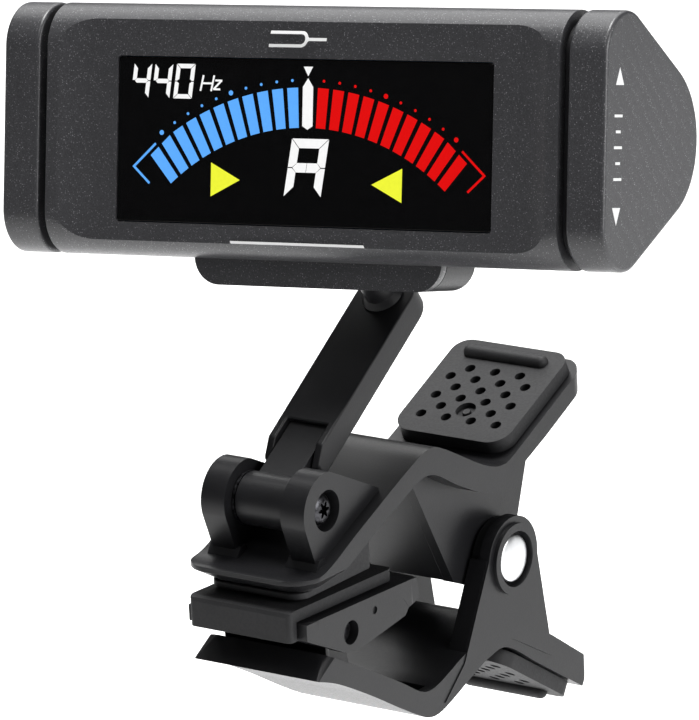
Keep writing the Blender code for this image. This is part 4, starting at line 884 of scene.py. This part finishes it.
# ---------------------------------------------------------------- parts kept as made, with their finish
KEPT = {
    "dark_steel": ["hinge_washer_left", "hinge_washer_right", "pad_pivot_pin"],
    "steel": ["swivel_screw", "swivel_washer",
              "bracket_screw_1", "bracket_screw_2", "tilt_pin", "case_screw_1", "case_screw_2", "case_screw_3",
              "case_screw_4", "quartz_crystal", "negative_contact_spring", "positive_contact_plate",
              "power_retaining_ring", "calibration_retaining_ring", "power_return_spring", "calibration_return_spring",
              "power_switch_upper", "power_switch_lower", "calibration_switch_upper", "calibration_switch_lower"],
    "chip": ["display_connector", "main_chip", "power_rocker", "calibration_rocker"],
    "board": ["circuit_board"], "brass": ["piezo_pickup"], "cell": ["aaa_cell"], "diffuser": ["backlight_panel"],
    "lcd": ["lcd_panel"],
}
for kind, names in KEPT.items():
    for n in names:
        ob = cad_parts[n]
        ob.data.materials.clear()
        ob.data.materials.append(MAT[kind])
        for p in ob.data.polygons:
            p.material_index = 0
            p.use_smooth = True
        ob.data.set_sharp_from_angle(angle=R(35))

# ---------------------------------------------------------------- stage, lights, camera
def stage_material():
    m, nt, b = new_material("studio_white", (0.93, 0.93, 0.93), 0.9)
    c = coords(nt)
    n = noise(nt, c, 6.0, 2.0)
    nt.links.new(ramp(nt, n, [(0.3, (0.925, 0.925, 0.925)), (0.7, (0.935, 0.935, 0.935))]), b.inputs["Base Color"])
    b.inputs["Emission Color"].default_value = (1, 1, 1, 1)
    b.inputs["Emission Strength"].default_value = 0.26
    b.inputs["Specular IOR Level"].default_value = 0.0
    return m


bm = bmesh.new()
bmesh.ops.create_grid(bm, x_segments=1, y_segments=1, size=6.0)
me = bpy.data.meshes.new("studio_floor")
bm.to_mesh(me)
bm.free()
floor = bpy.data.objects.new("studio_floor", me)
floor.location = (0, 0, -0.16)
bpy.context.scene.collection.objects.link(floor)
me.materials.append(stage_material())


def area(name, loc, target, size, energy, size_y=None, colour=(1, 1, 1)):
    l = bpy.data.lights.new(name, 'AREA')
    l.shape = 'RECTANGLE'
    l.size = size
    l.size_y = size_y or size
    l.energy = energy
    l.color = colour
    ob = bpy.data.objects.new(name, l)
    ob.location = loc
    ob.rotation_euler = (Vector(target) - Vector(loc)).to_track_quat('-Z', 'Y').to_euler()
    bpy.context.scene.collection.objects.link(ob)
    return ob


area("softbox_right", (0.80, 0.05, 0.30), (0, 0.01, 0.00), 0.6, 6.5, 0.5)
area("softbox_top", (-0.05, 0.05, 0.85), (0, 0.01, 0.02), 0.5, 11.0, 0.35)
area("fill_front", (-0.10, -0.70, 1.00), (0, 0.01, 0.02), 0.4, 2.2, 0.3)
area("sweep_light", (-0.31, 0.50, 0.55), (-0.31, 0.50, -0.16), 0.9, 7.0, 0.9)

world = bpy.data.worlds.new("studio")
world.use_nodes = True
world.node_tree.nodes["Background"].inputs["Color"].default_value = (1, 1, 1, 1)
world.node_tree.nodes["Background"].inputs["Strength"].default_value = 0.05
bpy.context.scene.world = world
bpy.context.scene.view_settings.view_transform = 'Standard'

cam_data = bpy.data.cameras.new("camera")
cam_data.sensor_width = 36
cam_data.sensor_fit = 'AUTO'
cam_data.lens = 6690.8 * 36 / 720
cam_data.clip_start = 0.01
cam_data.clip_end = 50
cam = bpy.data.objects.new("camera", cam_data)
right = Vector((0.81569494, 0.57651013, -0.04772679))
up = Vector((-0.12936014, 0.2621979, 0.95630446))
back = Vector((0.56383307, -0.77387876, 0.28845093))
rot = Matrix((right, up, back)).transposed().to_4x4()
cam.matrix_world = Matrix.Translation((0.39593, -0.53192, 0.22326)) @ rot
bpy.context.scene.collection.objects.link(cam)
bpy.context.scene.camera = cam
